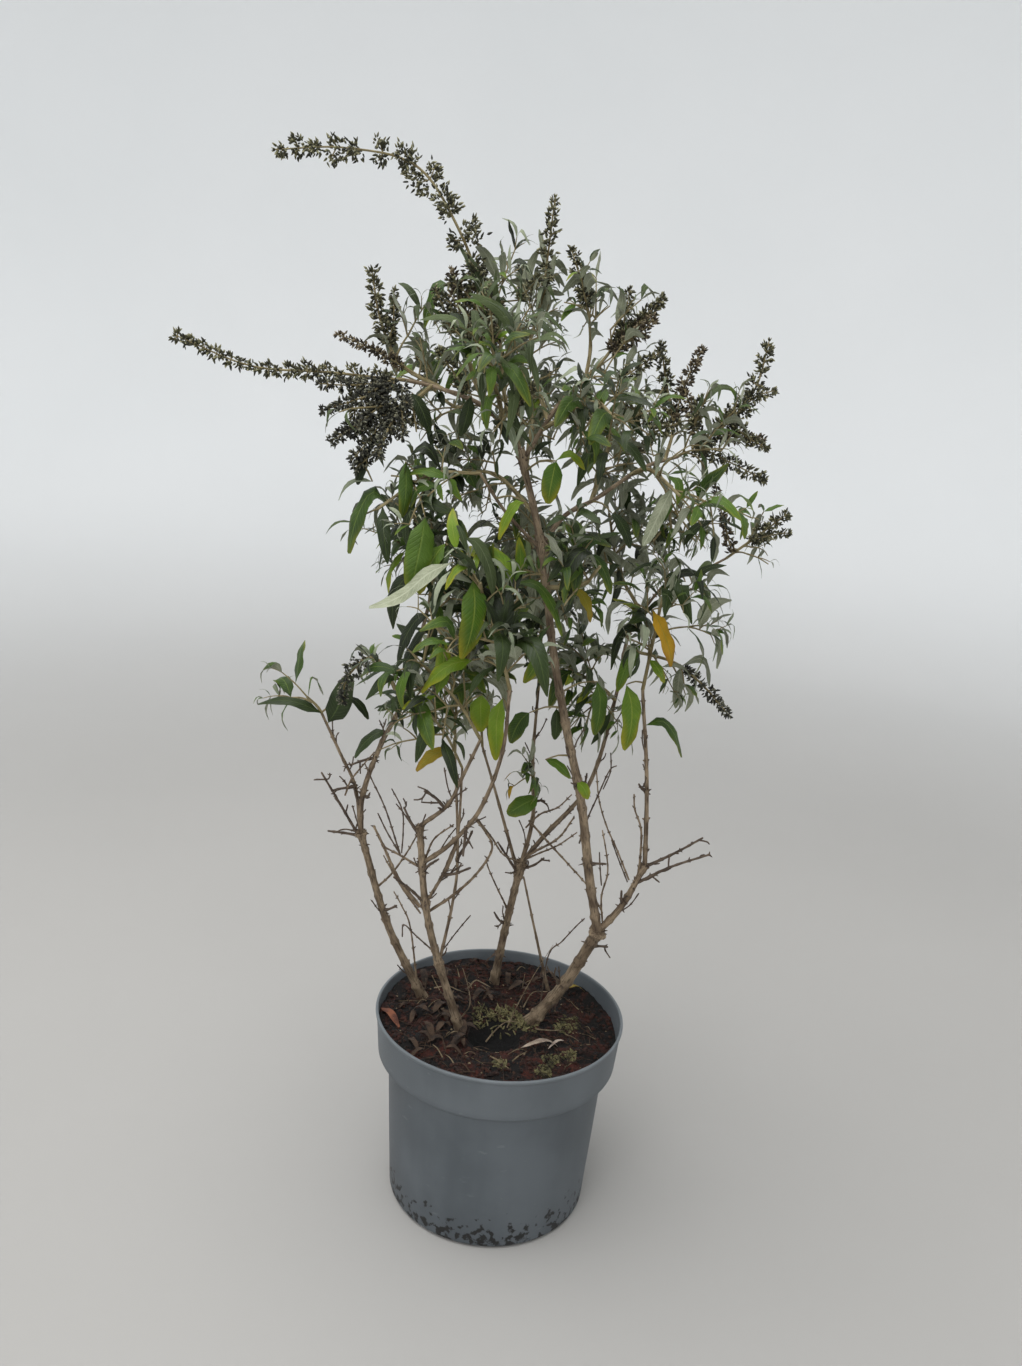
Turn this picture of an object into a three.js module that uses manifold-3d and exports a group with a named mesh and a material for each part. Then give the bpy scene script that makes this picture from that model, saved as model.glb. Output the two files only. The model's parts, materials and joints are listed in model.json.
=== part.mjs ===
// A butterfly bush in its plastic nursery pot.
// Millimetres, +Z up.  The origin is the centre of the pot's flat underside, and the
// bush's widest side faces -Y.
import * as THREE from 'three';
import { mergeVertices } from 'three/addons/utils/BufferGeometryUtils.js';
import Module from 'manifold-3d';

const wasm = await Module();
wasm.setup();
const { Manifold, Mesh: SolidMesh } = wasm;

// ---------------------------------------------------------------- driving dimensions

const POT = {
  height: 175, // underside to rim
  rimRadius: 110, // outside of the rim
  baseRadius: 89, // outside, just above the underside
  shoulderRadius: 96.5, // outside of the tapered body, just under the rim band
  bandRadius: 106, // outside of the rim band at its lower edge
  bandHeight: 38, // rim band, rim to lower edge
  stepHeight: 7, // curve from the band in to the body
  wall: 1.8,
  floor: 2.2,
  lipWidth: 2.4,
  lipDrop: 3.5,
  lipEdge: 1, // slope under the lip
  footEdge: 3, // slanting edge round the underside
  stepEdge: 2, // rounding at the foot of the rim band
  sides: 32,
};

const DRAIN = { holes: 6, ringRadius: 58, radius: 6, sides: 10 };

const SOIL = {
  level: 160, // mean height of the surface above the underside
  fallToRight: 0.045, // the surface drops towards +X
  riseToBack: 0.02, // and rises towards +Y
  bump: 1.1, // height of its lumps
  waves: [[0.11, 0.04, 1.3], [0.05, -0.13, 0]], // their pitch along X and Y, and their start
  rings: [32, 70],
};

const GAP = 0.3; // clearance between touching pieces
const FOOT_SINK = 1.5; // a stem's flat foot lies this far under the soil around it
const FLARE = { gain: 0.55, reach: 14 }; // root flare: extra radius at the foot, and how fast it fades

const LEAF = {
  widthRatio: 0.35, // widest part to length
  thicknessRatio: 0.025, // at the widest part, to length
  thinnest: 1.2,
  sizes: [1, 0.74, 0.54], // tried in turn until the leaf keeps clear of its surroundings
  widestAt: 0.42, // share of the length from the root to the widest part
  rise: [0, 0.3], // how far the inner part points up, least and most
  fall: [0.5, 1.7], // and how far the outer part hangs
  forward: [0.3, 0.9], // how far it leans along its twig
  steepest: 0.6, // most that a leaf points up where it leaves its twig
  turn: 0.4, // strays from the crossed pairs, in radians
  roll: 0.5, // about its own length, in radians
  spread: [0.75, 1.2], // smallest and largest, to the mass's leaf length
  taper: [1.05, 0.8], // size at a twig's root and tip
  sample: 6, // spacing of the points that are tested against the leaf's surroundings
};

const TWIG = {
  nodeSpacing: 28, // from one pair of leaves to the next on a stem
  shootSpacing: 20, // and on a side shoot
  stemRadius: 2.1,
  stemTip: 1.3,
  shootRadius: 0.95,
  lastPair: 0.95, // share of a leafy twig with its last pair of leaves
  stepLength: 36,
};

const PLUME = {
  spacing: 17, // from one pair of seed clusters to the next
  width: 28, // over the longest clusters
  tipWidth: 8,
  fade: 1.3, // how the width falls off, as a power of the share of the length
  stray: [0.8, 1.15], // shortest and longest cluster, to the width there
  stemRadius: 1.5,
  sideRadius: 0.95, // of a side spike's stem
  endRadius: 0.7,
  lean: 0.62, // how far the clusters point along the stem
  overlap: 1.5, // the leafy twig runs this far into the spike's foot
};

const CLEARANCE = {
  limb: 3.6, // of a leaf or twig from a limb's sides
  space: 2, // from the middle between two masses' stems
  root: 7, // length of a leaf or twig at its root that isn't tested
  leaf: 2.4, // from the other leaves of its mass
};

// ---------------------------------------------------------------- stems and boughs

// A limb starts at a foot on the soil or at a share "at" of the limb it grows "from",
// and runs through its way points to its tip.  "dead" lists pruned or dead spurs as
// [share along the limb, x, y, z of the spur's tip].
const LIMBS = [
  { name: 'stem_left', foot: [-71, 28], way: [[-106, 18, 238], [-132, 0, 331]],
    radii: [4.3, 3.4], dead: [[0.93, -166, -8, 385], [0.98, -160, 0, 330], [0.55, -98, 8, 262]] },
  { name: 'stem_inner_left', foot: [-33, -19], way: [[-58, -32, 239], [-70, -42, 293], [-78, -45, 359]],
    radii: [4.2, 3.0], dead: [[0.66, -96, -52, 316], [0.97, -92, -40, 372], [0.8, -60, -60, 338]] },
  { name: 'stem_centre', foot: [-7, 66], way: [[0, 50, 231], [9, 30, 303]],
    radii: [4.4, 3.6], dead: [[0.9, -14, 26, 322], [0.95, 28, 22, 312], [0.5, -12, 44, 246]] },
  { name: 'stem_right', foot: [28, 9], way: [[55, -8, 209], [77, -25, 269]],
    radii: [6.2, 5.4], dead: [[0.86, 88, -14, 250], [0.45, 42, -14, 222]] },
  { name: 'stem_thin', foot: [46, 61], way: [[27, 48, 229], [12, 42, 284]],
    radii: [1.8, 1.0], dead: [] },
  { name: 'leader', from: 'stem_right', at: 1,
    way: [[65, -30, 318], [51, -33, 388], [35, -36, 443], [17, -40, 512], [1, -42, 592], [-21, -38, 662]],
    radii: [4.7, 3.0], dead: [[0.16, 76, -42, 338], [0.34, 44, -44, 402]] },
  { name: 'bough_right', from: 'stem_right', at: 1, way: [[95, -25, 295], [111, -20, 330]],
    radii: [3.7, 2.8], dead: [[0.75, 160, -38, 352], [0.98, 158, -12, 356], [0.45, 92, -34, 312]] },
  { name: 'bough_right_upright', from: 'bough_right', at: 1, way: [[105, -15, 404], [94, -10, 479]],
    radii: [2.4, 1.6], dead: [[0.42, 98, -22, 402]] },
  { name: 'bough_left_outer', from: 'stem_left', at: 1,
    way: [[-139, 5, 370], [-152, 0, 400], [-168, -8, 437]],
    radii: [1.9, 1.3], dead: [[0.35, -158, -4, 368]] },
  { name: 'bough_left', from: 'stem_left', at: 1,
    way: [[-131, -5, 367], [-118, -12, 412], [-99, -20, 460], [-83, -20, 540]],
    radii: [2.9, 1.7], dead: [[0.16, -124, -16, 372], [0.34, -142, -2, 392]] },
  { name: 'bough_inner_rear', from: 'stem_inner_left', at: 0.36,
    way: [[-48, -20, 282], [-47, -10, 322], [-56, 5, 409]],
    radii: [1.7, 1.2], dead: [[0.5, -36, -8, 344]] },
  { name: 'bough_inner_upright', from: 'stem_inner_left', at: 1,
    way: [[-56, -60, 384], [-46, -70, 410], [-33, -85, 448]],
    radii: [2.1, 1.4], dead: [[0.3, -74, -70, 398]] },
  { name: 'bough_inner_curved', from: 'stem_inner_left', at: 0.84,
    way: [[-52, -56, 350], [-30, -70, 386], [-16, -90, 440], [-14, -100, 492]],
    radii: [2.3, 1.5], dead: [[0.3, -40, -78, 350]] },
  { name: 'bough_inner_arched', from: 'stem_inner_left', at: 0.66,
    way: [[-52, -50, 330], [-46, -58, 362], [-46, -66, 418]],
    radii: [1.6, 1.1], dead: [[0.25, -34, -58, 332]] },
  { name: 'bough_centre_rear', from: 'stem_centre', at: 1,
    way: [[16, 50, 340], [12, 75, 386], [12, 95, 446]],
    radii: [2.4, 1.5], dead: [[0.35, 26, 58, 352]] },
  { name: 'bough_centre_left', from: 'stem_centre', at: 0.9, way: [[-18, 60, 352], [-35, 80, 392]],
    radii: [1.9, 1.3], dead: [] },
  { name: 'bough_centre_right', from: 'stem_centre', at: 1,
    way: [[28, 40, 327], [65, 60, 373], [82, 75, 454], [85, 75, 494], [91, 72, 536]],
    radii: [2.5, 1.7], dead: [[0.3, 60, 44, 386]] },
  { name: 'bough_far_right', from: 'bough_centre_right', at: 0.9,
    way: [[112, 64, 556], [139, 50, 572], [158, 40, 586]],
    radii: [1.5, 1.2], dead: [] },
  { name: 'crown_bough_left', from: 'leader', at: 1,
    way: [[-48, -40, 690], [-84, -35, 702], [-111, -32, 706]],
    radii: [2.5, 1.6], dead: [] },
  { name: 'crown_bough_right', from: 'leader', at: 0.98, way: [[6, -25, 699], [24, -15, 717]],
    radii: [2.2, 1.6], dead: [] },
  { name: 'side_bough_right', from: 'leader', at: 0.82,
    way: [[17, -35, 616], [40, -25, 630], [74, -10, 655], [102, 0, 666]],
    radii: [2.3, 1.5], dead: [] },
  { name: 'side_bough_left', from: 'leader', at: 0.81, way: [[-27, -60, 616], [-48, -75, 644]],
    radii: [1.7, 1.3], dead: [] },
];

const LIMB = {
  sides: 7,
  middleSides: 5, // of a limb thinner than middleRadius at its foot
  middleRadius: 4,
  thinSides: 5, // and thinner than thinRadius
  thinRadius: 2,
  stepLength: 48,
  spurRadius: 1.5,
  spurTip: 0.8,
  spurSides: 3,
  tail: 4, // a stem is built this much longer below its foot, then cut flat
};

// ---------------------------------------------------------------- masses of foliage

// A mass is one stem that leaves a limb and runs through its way points, its leaves and
// its side shoots.  It keeps within "reach" of its stem.  "plume" is the length of the
// spent flower spike at the stem's end, "shoots" the number of leafy side shoots, "leaf"
// the length of its leaves, and "plumes" lists side spikes as
// [share along the stem, x, y, z of the tip].
const MASSES = [
  { name: 'spire_left', from: 'crown_bough_left', at: 0.35, reach: 62, plume: 200, shoots: 3, leaf: 50,
    way: [[-64, -30, 724], [-61, -28, 774], [-81, -25, 819], [-113, -22, 856], [-164, -25, 863],
      [-213, -30, 857]],
    plumes: [[0.2, -84, -6, 790]] },
  { name: 'arm_left', from: 'crown_bough_left', at: 1, reach: 64, plume: 165, shoots: 2, leaf: 46,
    way: [[-126, -32, 706], [-170, -34, 707], [-225, -38, 707], [-280, -40, 724]],
    plumes: [[0.12, -140, -40, 668], [0.2, -150, -20, 672]] },
  { name: 'cluster_left', from: 'crown_bough_left', at: 0.8, reach: 60, plume: 50, shoots: 3, leaf: 44,
    way: [[-112, -52, 680], [-126, -60, 654], [-140, -62, 640]], plumes: [[0.5, -150, -55, 664]] },
  { name: 'tuft_left', from: 'crown_bough_left', at: 0.72, reach: 62, plume: 60, shoots: 3, leaf: 42,
    way: [[-116, -22, 718], [-134, -10, 748], [-144, 0, 784]],
    plumes: [[0.3, -166, -14, 736], [0.5, -126, -5, 772]] },
  { name: 'tuft_top_left', from: 'leader', at: 0.99, reach: 66, plume: 40, shoots: 4, leaf: 46,
    way: [[-36, -20, 700], [-44, 0, 745], [-62, 10, 794]], plumes: [[0.6, -80, 5, 780]] },
  { name: 'tuft_top', from: 'crown_bough_right', at: 0.45, reach: 66, plume: 76, shoots: 4, leaf: 46,
    way: [[-20, 20, 738], [-14, 28, 777], [-10, 35, 854]], plumes: [] },
  { name: 'tuft_top_right', from: 'crown_bough_right', at: 1, reach: 60, plume: 44, shoots: 4, leaf: 46,
    way: [[26, 0, 745], [20, 18, 780], [6, 25, 815]], plumes: [] },
  { name: 'tuft_far_right', from: 'crown_bough_right', at: 0.8, reach: 62, plume: 40, shoots: 3, leaf: 46,
    way: [[34, 0, 730], [52, 8, 755], [77, 10, 780]],
    plumes: [[0.5, 72, -8, 766], [0.62, 54, 20, 790]] },
  { name: 'crown_front', from: 'crown_bough_left', at: 0.2, reach: 78, plume: 0, shoots: 5, leaf: 52,
    way: [[-40, -70, 700], [-52, -100, 722]], plumes: [] },
  { name: 'crown_rear', from: 'leader', at: 0.96, reach: 68, plume: 30, shoots: 5, leaf: 52,
    way: [[-14, 10, 690], [-24, 60, 722], [-30, 90, 762]], plumes: [] },
  { name: 'crown_rear_left', from: 'crown_bough_left', at: 0.5, reach: 62, plume: 34, shoots: 5, leaf: 50,
    way: [[-72, 10, 690], [-92, 50, 700], [-112, 78, 730]], plumes: [] },
  { name: 'crown_rear_right', from: 'side_bough_right', at: 0.4, reach: 84, plume: 34, shoots: 5, leaf: 52,
    way: [[48, 20, 664], [58, 60, 692], [62, 95, 732]], plumes: [] },
  { name: 'crown_front_right', from: 'crown_bough_right', at: 0.35, reach: 72, plume: 0, shoots: 5,
    leaf: 50, way: [[28, -55, 700], [44, -85, 690]], plumes: [] },
  { name: 'spray_right', from: 'side_bough_right', at: 1, reach: 64, plume: 112, shoots: 3, leaf: 48,
    way: [[133, 4, 689], [157, 8, 721], [164, 10, 759]],
    plumes: [[0.3, 171, 15, 684], [0.15, 172, 0, 654]] },
  { name: 'spray_right_rear', from: 'side_bough_right', at: 0.92, reach: 64, plume: 60, shoots: 3, leaf: 48,
    way: [[98, 14, 690], [90, 24, 722], [83, 30, 753]], plumes: [[0.35, 118, 40, 752]] },
  { name: 'spray_right_front', from: 'side_bough_right', at: 0.7, reach: 62, plume: 0, shoots: 5, leaf: 54,
    way: [[78, -40, 655], [96, -80, 640]], plumes: [] },
  { name: 'spray_right_low', from: 'side_bough_right', at: 0.85, reach: 44, plume: 0, shoots: 4, leaf: 46,
    way: [[98, 4, 636], [104, -2, 606]], plumes: [] },
  { name: 'spray_left', from: 'side_bough_left', at: 1, reach: 56, plume: 0, shoots: 5, leaf: 62,
    way: [[-84, -74, 640], [-122, -62, 612]], plumes: [] },
  { name: 'spray_left_rear', from: 'leader', at: 0.88, reach: 66, plume: 30, shoots: 5, leaf: 54,
    way: [[-38, 10, 640], [-68, 45, 642], [-92, 56, 664]], plumes: [] },
  { name: 'leader_front', from: 'leader', at: 0.74, reach: 82, plume: 0, shoots: 5, leaf: 58,
    way: [[32, -80, 570], [42, -108, 588]], plumes: [] },
  { name: 'leader_rear', from: 'leader', at: 0.7, reach: 80, plume: 0, shoots: 5, leaf: 52,
    way: [[2, 0, 570], [-8, 30, 590]], plumes: [] },
  { name: 'left_middle', from: 'bough_left', at: 1, reach: 62, plume: 30, shoots: 5, leaf: 60,
    way: [[-84, -20, 572], [-100, -22, 612]], plumes: [] },
  { name: 'left_plume', from: 'bough_left', at: 0.6, reach: 36, plume: 44, shoots: 1, leaf: 40,
    way: [[-122, -35, 493], [-142, -40, 478], [-146, -40, 456]], plumes: [] },
  { name: 'left_outer', from: 'bough_left_outer', at: 1, reach: 66, plume: 0, shoots: 1, leaf: 52,
    way: [[-172, -9, 443], [-180, -10, 450]], plumes: [] },
  { name: 'front_middle', from: 'bough_inner_curved', at: 1, reach: 86, plume: 0, shoots: 5, leaf: 70,
    way: [[-26, -106, 532], [-44, -110, 572]], plumes: [] },
  { name: 'front_low', from: 'bough_inner_upright', at: 1, reach: 56, plume: 0, shoots: 5, leaf: 58,
    way: [[-52, -86, 476], [-80, -84, 502]], plumes: [] },
  { name: 'front_arched', from: 'bough_inner_arched', at: 1, reach: 52, plume: 0, shoots: 3, leaf: 52,
    way: [[-60, -58, 440], [-76, -50, 456]], plumes: [] },
  { name: 'inner_rear', from: 'bough_inner_rear', at: 1, reach: 78, plume: 0, shoots: 4, leaf: 54,
    way: [[-58, 18, 446], [-50, 28, 496]], plumes: [] },
  { name: 'rear_centre', from: 'bough_centre_rear', at: 1, reach: 88, plume: 34, shoots: 5, leaf: 58,
    way: [[10, 100, 500], [0, 108, 560], [-6, 112, 600]], plumes: [] },
  { name: 'rear_left', from: 'bough_centre_left', at: 1, reach: 70, plume: 30, shoots: 5, leaf: 58,
    way: [[-42, 88, 440], [-56, 94, 504], [-68, 96, 560]], plumes: [] },
  { name: 'rear_right', from: 'bough_centre_right', at: 1, reach: 82, plume: 0, shoots: 5, leaf: 54,
    way: [[72, 75, 566], [60, 86, 612]], plumes: [] },
  { name: 'right_low', from: 'bough_centre_right', at: 0.66, reach: 80, plume: 0, shoots: 4, leaf: 60,
    way: [[66, 60, 462], [46, 40, 476]], plumes: [] },
  { name: 'right_plume', from: 'bough_centre_right', at: 0.84, reach: 58, plume: 62, shoots: 2, leaf: 42,
    way: [[126, 60, 490], [152, 57, 474], [182, 55, 446]], plumes: [] },
  { name: 'far_right', from: 'bough_far_right', at: 1, reach: 40, plume: 40, shoots: 2, leaf: 34,
    way: [[183, 40, 608], [204, 40, 627]], plumes: [[0.1, 144, 55, 645], [0.4, 205, 30, 612]] },
  { name: 'right_middle', from: 'bough_right_upright', at: 1, reach: 66, plume: 0, shoots: 5, leaf: 60,
    way: [[97, -14, 516], [100, -24, 560]], plumes: [] },
  { name: 'low_sprig', from: 'bough_centre_rear', at: 0.5, reach: 50, plume: 0, shoots: 0, leaf: 38,
    way: [[13, 40, 384], [12, 24, 388]], plumes: [] },
];

const SHOOT = {
  angle: 0.95, // from the stem
  turn: 2.4, // round the stem from one shoot to the next
  shortest: 0.35, // share of the mass's reach
  longest: 0.62,
  shrink: 0.3, // how much shorter towards the stem's tip
  droop: 0.2,
  first: 0.2, // share of the leafy stem with the first and the last shoot
  last: 0.95,
  stray: 0.5, // in radians
};

// ---------------------------------------------------------------- colours

const LOOKS = {
  pot: { color: 0x4d555c, roughness: 0.55, metalness: 0 },
  soil: { color: 0x2b1c15, roughness: 0.95, metalness: 0 },
  bark: { color: 0x6e5a48, roughness: 0.85, metalness: 0 },
  leaves: { color: 0x5b6b46, roughness: 0.75, metalness: 0 },
};

// ---------------------------------------------------------------- small helpers

const vec = (x, y, z) => new THREE.Vector3(x, y, z);
const mix = (a, b, share) => a + (b - a) * share;

// A repeatable number from 0 to 1 for any list of whole-number keys.
function noise(...keys) {
  let h = 2166136261;
  for (const key of keys) {
    h = Math.imul(h ^ (key + 1013), 16777619);
    h ^= h >>> 13;
    h = Math.imul(h, 1540483477);
    h ^= h >>> 15;
  }
  return (h >>> 0) / 4294967296;
}

// Two directions square to "along": level sideways, and the third.
function crossFrame(along) {
  const pole = Math.abs(along.z) > 0.9 ? vec(1, 0, 0) : vec(0, 0, 1);
  const side = vec(0, 0, 0).crossVectors(along, pole).normalize();
  return [side, vec(0, 0, 0).crossVectors(side, along).normalize()];
}

// A closed three.js geometry as a solid, with each vertex moved by place(x, y, z).
function formed(geometry, place) {
  const bare = geometry.index ? geometry.toNonIndexed() : geometry.clone();
  bare.deleteAttribute('normal');
  bare.deleteAttribute('uv');
  const merged = mergeVertices(bare, 1e-5);
  const position = merged.getAttribute('position');
  const vertProperties = new Float32Array(position.count * 3);
  for (let i = 0; i < position.count; i += 1) {
    place(position.getX(i), position.getY(i), position.getZ(i)).toArray(vertProperties, i * 3);
  }
  const triVerts = Uint32Array.from(merged.index.array);
  return new Manifold(new SolidMesh({ numProp: 3, vertProperties, triVerts }));
}

const smoothCurve = (points) => new THREE.CatmullRomCurve3(points, false, 'catmullrom', 0.5);

// The directions along a row of places and square to it, turned as little as its bends allow.
function framesThrough(places) {
  const last = places.length - 1;
  const frames = places.map((place, i) => {
    const along = places[Math.min(i + 1, last)].clone().sub(places[Math.max(i - 1, 0)]).normalize();
    return { place, along };
  });
  let side = crossFrame(frames[0].along)[0];
  for (const frame of frames) {
    side = side.clone().addScaledVector(frame.along, -side.dot(frame.along)).normalize();
    frame.side = side;
    frame.third = vec(0, 0, 0).crossVectors(side, frame.along);
  }
  return frames;
}

// A tapering limb through a row of places, closed at both ends.
function tubeThrough(places, radiusAt, sides) {
  const steps = places.length - 1;
  const frames = framesThrough(places);
  return formed(new THREE.CylinderGeometry(1, 1, 1, sides, steps), (x, y, z) => {
    const ring = Math.round((y + 0.5) * steps);
    const { place, side: right, third } = frames[ring];
    const radius = radiusAt(ring / steps);
    return place.clone().addScaledVector(right, x * radius).addScaledVector(third, z * radius);
  });
}

const tube = (curve, radiusAt, sides, steps) => tubeThrough(curve.getSpacedPoints(steps), radiusAt, sides);

// The largest single body of a solid: severed scraps and sealed hollows go.
function largest(solid) {
  const pieces = solid.decompose();
  return pieces.reduce((best, piece) => (piece.volume() > best.volume() ? piece : best));
}

function boxesMeet(a, b) {
  const boxA = a.boundingBox();
  const boxB = b.boundingBox();
  return [0, 1, 2].every((i) => boxA.min[i] <= boxB.max[i] && boxB.min[i] <= boxA.max[i]);
}

function cutClear(solid, cutters) {
  let result = solid;
  for (const cutter of cutters) {
    if (boxesMeet(result, cutter)) result = result.subtract(cutter);
  }
  return largest(result);
}

function asMesh(name, solid, look) {
  const data = solid.getMesh();
  const geometry = new THREE.BufferGeometry();
  geometry.setAttribute('position', new THREE.BufferAttribute(Float32Array.from(data.vertProperties), 3));
  geometry.setIndex(new THREE.BufferAttribute(Uint32Array.from(data.triVerts), 1));
  geometry.computeVertexNormals();
  const mesh = new THREE.Mesh(geometry, new THREE.MeshStandardMaterial(look));
  mesh.name = name;
  return mesh;
}

const latheUp = (x, y, z) => vec(x, -z, y); // three.js turns about +Y, the plant stands on +Z

// ---------------------------------------------------------------- pot and soil

const BAND_FOOT = POT.height - POT.bandHeight;
const SHOULDER = BAND_FOOT - POT.stepHeight;

// Inside radius of the pot's wall at a height.
function innerRadius(z) {
  const base = POT.baseRadius - POT.wall;
  const shoulder = POT.shoulderRadius - POT.wall;
  const band = POT.bandRadius - POT.wall;
  if (z < SHOULDER) return mix(base, shoulder, (z - POT.floor) / (SHOULDER - POT.floor));
  if (z < BAND_FOOT) return mix(shoulder, band, (z - SHOULDER) / POT.stepHeight);
  return mix(band, POT.rimRadius - POT.wall, (z - BAND_FOOT) / POT.bandHeight);
}

function lathe(profile) {
  const points = profile.map(([r, z]) => new THREE.Vector2(r, z));
  return formed(new THREE.LatheGeometry(points, POT.sides), latheUp);
}

function potSolid() {
  const { height, rimRadius, baseRadius, bandRadius, lipWidth, lipDrop, floor, footEdge, stepEdge } = POT;
  const underLip = rimRadius - lipWidth / 2;
  const shell = lathe([
    [0, 0],
    [baseRadius - footEdge, 0],
    [baseRadius, footEdge],
    [POT.shoulderRadius, SHOULDER],
    [bandRadius - stepEdge, BAND_FOOT - stepEdge],
    [bandRadius, BAND_FOOT],
    [underLip, height - lipDrop],
    [rimRadius, height - lipDrop + POT.lipEdge],
    [rimRadius, height],
    [rimRadius - lipWidth, height],
    [innerRadius(BAND_FOOT), BAND_FOOT],
    [innerRadius(SHOULDER), SHOULDER],
    [innerRadius(floor), floor],
    [0, floor],
  ]);
  return drainHoles().reduce((pot, hole) => pot.subtract(hole), shell);
}

function drainHoles() {
  const holes = [];
  for (let i = 0; i < DRAIN.holes; i += 1) {
    const angle = ((i + 0.5) / DRAIN.holes) * 2 * Math.PI;
    const drill = new THREE.CylinderGeometry(DRAIN.radius, DRAIN.radius, 4 * POT.floor, DRAIN.sides);
    const centre = vec(Math.cos(angle), Math.sin(angle), 0).multiplyScalar(DRAIN.ringRadius);
    holes.push(formed(drill, (x, y, z) => latheUp(x, y, z).add(centre)));
  }
  return holes;
}

function soilHeight(x, y) {
  const lumps = SOIL.waves.reduce((sum, [a, b, start]) => sum + Math.sin(a * x + b * y + start), 0);
  return SOIL.level - SOIL.fallToRight * x + SOIL.riseToBack * y + SOIL.bump * lumps;
}

// A place moved up or down to the soil's surface, and in where the wall is closer there.
function onSoil({ x, y }) {
  const height = soilHeight(x, y);
  const shrink = Math.min(1, (innerRadius(height) - 1.5 * GAP) / Math.max(1, Math.hypot(x, y)));
  return vec(x * shrink, y * shrink, height);
}

// The soil fills the pot from its floor and keeps clear of the wall and of the stems' feet.
function soilSolid(footClearances) {
  const bottom = POT.floor + GAP;
  const edge = innerRadius(SOIL.level) - GAP;
  const profile = [
    [0, bottom],
    [innerRadius(bottom) - GAP, bottom],
    [innerRadius(SHOULDER) - GAP, SHOULDER + GAP],
    [innerRadius(BAND_FOOT) - GAP, BAND_FOOT + GAP],
    [edge, SOIL.level],
    ...SOIL.rings.toReversed().map((r) => [r, SOIL.level]),
    [0, SOIL.level],
  ];
  const points = profile.map(([r, z]) => new THREE.Vector2(r, z));
  const body = formed(new THREE.LatheGeometry(points, POT.sides), (x, y, z) => {
    const place = latheUp(x, y, z);
    return place.z < SOIL.level ? place : onSoil(place);
  });
  return cutClear(body, footClearances);
}

// ---------------------------------------------------------------- limbs

const limbs = new Map();
const MARGIN = 1.06 * GAP; // how far a limb's clearance stands off its sides

function limbStart(spec) {
  if (spec.foot) {
    const [x, y] = spec.foot;
    return vec(x, y, soilHeight(x, y) - FOOT_SINK);
  }
  return limbs.get(spec.from).curve.getPointAt(spec.at);
}

function limbRadius(spec, share, length) {
  const [foot, tip] = spec.radii;
  const flare = spec.foot ? FLARE.gain * Math.exp((-share * length) / FLARE.reach) : 0;
  return mix(foot, tip, share) * (1 + flare);
}

// A short pruned or dead spur, fused to its limb, or the same spur grown by a margin.
function spurSolid(curve, [share, ...end], margin = 0) {
  const root = curve.getPointAt(share);
  const tip = vec(...end);
  tip.addScaledVector(tip.clone().sub(root).normalize(), margin);
  const grown = margin / Math.cos(Math.PI / LIMB.spurSides);
  return tubeThrough([root, tip], (t) => mix(LIMB.spurRadius, LIMB.spurTip, t) + grown, LIMB.spurSides);
}

// All that lies below a level.
function belowFoot(level) {
  const size = 4 * POT.rimRadius;
  const block = new THREE.BoxGeometry(size, size, size);
  return formed(block, (x, y, z) => vec(x, y, z + level - size / 2));
}

function limbSides(radius) {
  if (radius < LIMB.thinRadius) return LIMB.thinSides;
  return radius < LIMB.middleRadius ? LIMB.middleSides : LIMB.sides;
}

function buildLimb(spec) {
  const start = limbStart(spec);
  const points = [start, ...spec.way.map((p) => vec(...p))];
  if (spec.foot) points[0] = start.clone().add(start.clone().sub(points[1]).setLength(LIMB.tail));
  const curve = smoothCurve(points);
  const length = curve.getLength();
  const sides = limbSides(spec.radii[0]);
  const steps = Math.max(3, Math.round(length / LIMB.stepLength));
  const radiusAt = (share) => limbRadius(spec, share, length);
  let solid = tube(curve, radiusAt, sides, steps);
  for (const spur of spec.dead) solid = solid.add(spurSolid(curve, spur));
  if (spec.foot) solid = solid.subtract(belowFoot(start.z));
  const spurRoom = spec.dead.map((spur) => spurSolid(curve, spur, MARGIN));
  const cutter = spurRoom.reduce((all, room) => all.add(room), clearanceOf(curve, radiusAt, sides, steps));
  const earlier = [...limbs.values()].map((limb) => limb.cutter);
  const samples = curve.getSpacedPoints(Math.ceil(length / LEAF.sample));
  limbs.set(spec.name, { spec, curve, radiusAt, cutter, samples, solid: cutClear(solid, earlier) });
}

// The same tube grown by the gap, and longer by it at both ends.
function clearanceOf(curve, radiusAt, sides, steps) {
  const end = curve.getPointAt(1).addScaledVector(curve.getTangentAt(1), GAP);
  const start = curve.getPointAt(0).addScaledVector(curve.getTangentAt(0), -GAP);
  const inner = curve.points.slice(1, -1);
  const longer = smoothCurve([start, ...inner, end]);
  return tube(longer, (share) => radiusAt(share) + MARGIN / Math.cos(Math.PI / sides), sides, steps);
}

// ---------------------------------------------------------------- spaces

const masses = MASSES.map((spec, index) => {
  return { spec, seed: index + 1 };
});

function layOutMass(mass) {
  const { spec } = mass;
  const start = limbs.get(spec.from).curve.getPointAt(spec.at);
  mass.curve = smoothCurve([start, ...spec.way.map((p) => vec(...p))]);
  mass.length = mass.curve.getLength();
  const radius = Math.min(limbs.get(spec.from).radiusAt(spec.at), TWIG.stemRadius);
  mass.stem = shootAlong(mass.curve, spec.plume, TWIG.nodeSpacing, [radius, TWIG.stemTip], [mass.seed, 0]);
  mass.samples = mass.curve.getSpacedPoints(Math.ceil(mass.length / LEAF.sample));
}

function nearest(samples, point) {
  let best = Infinity;
  for (const sample of samples) best = Math.min(best, sample.distanceToSquared(point));
  return Math.sqrt(best);
}

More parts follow.
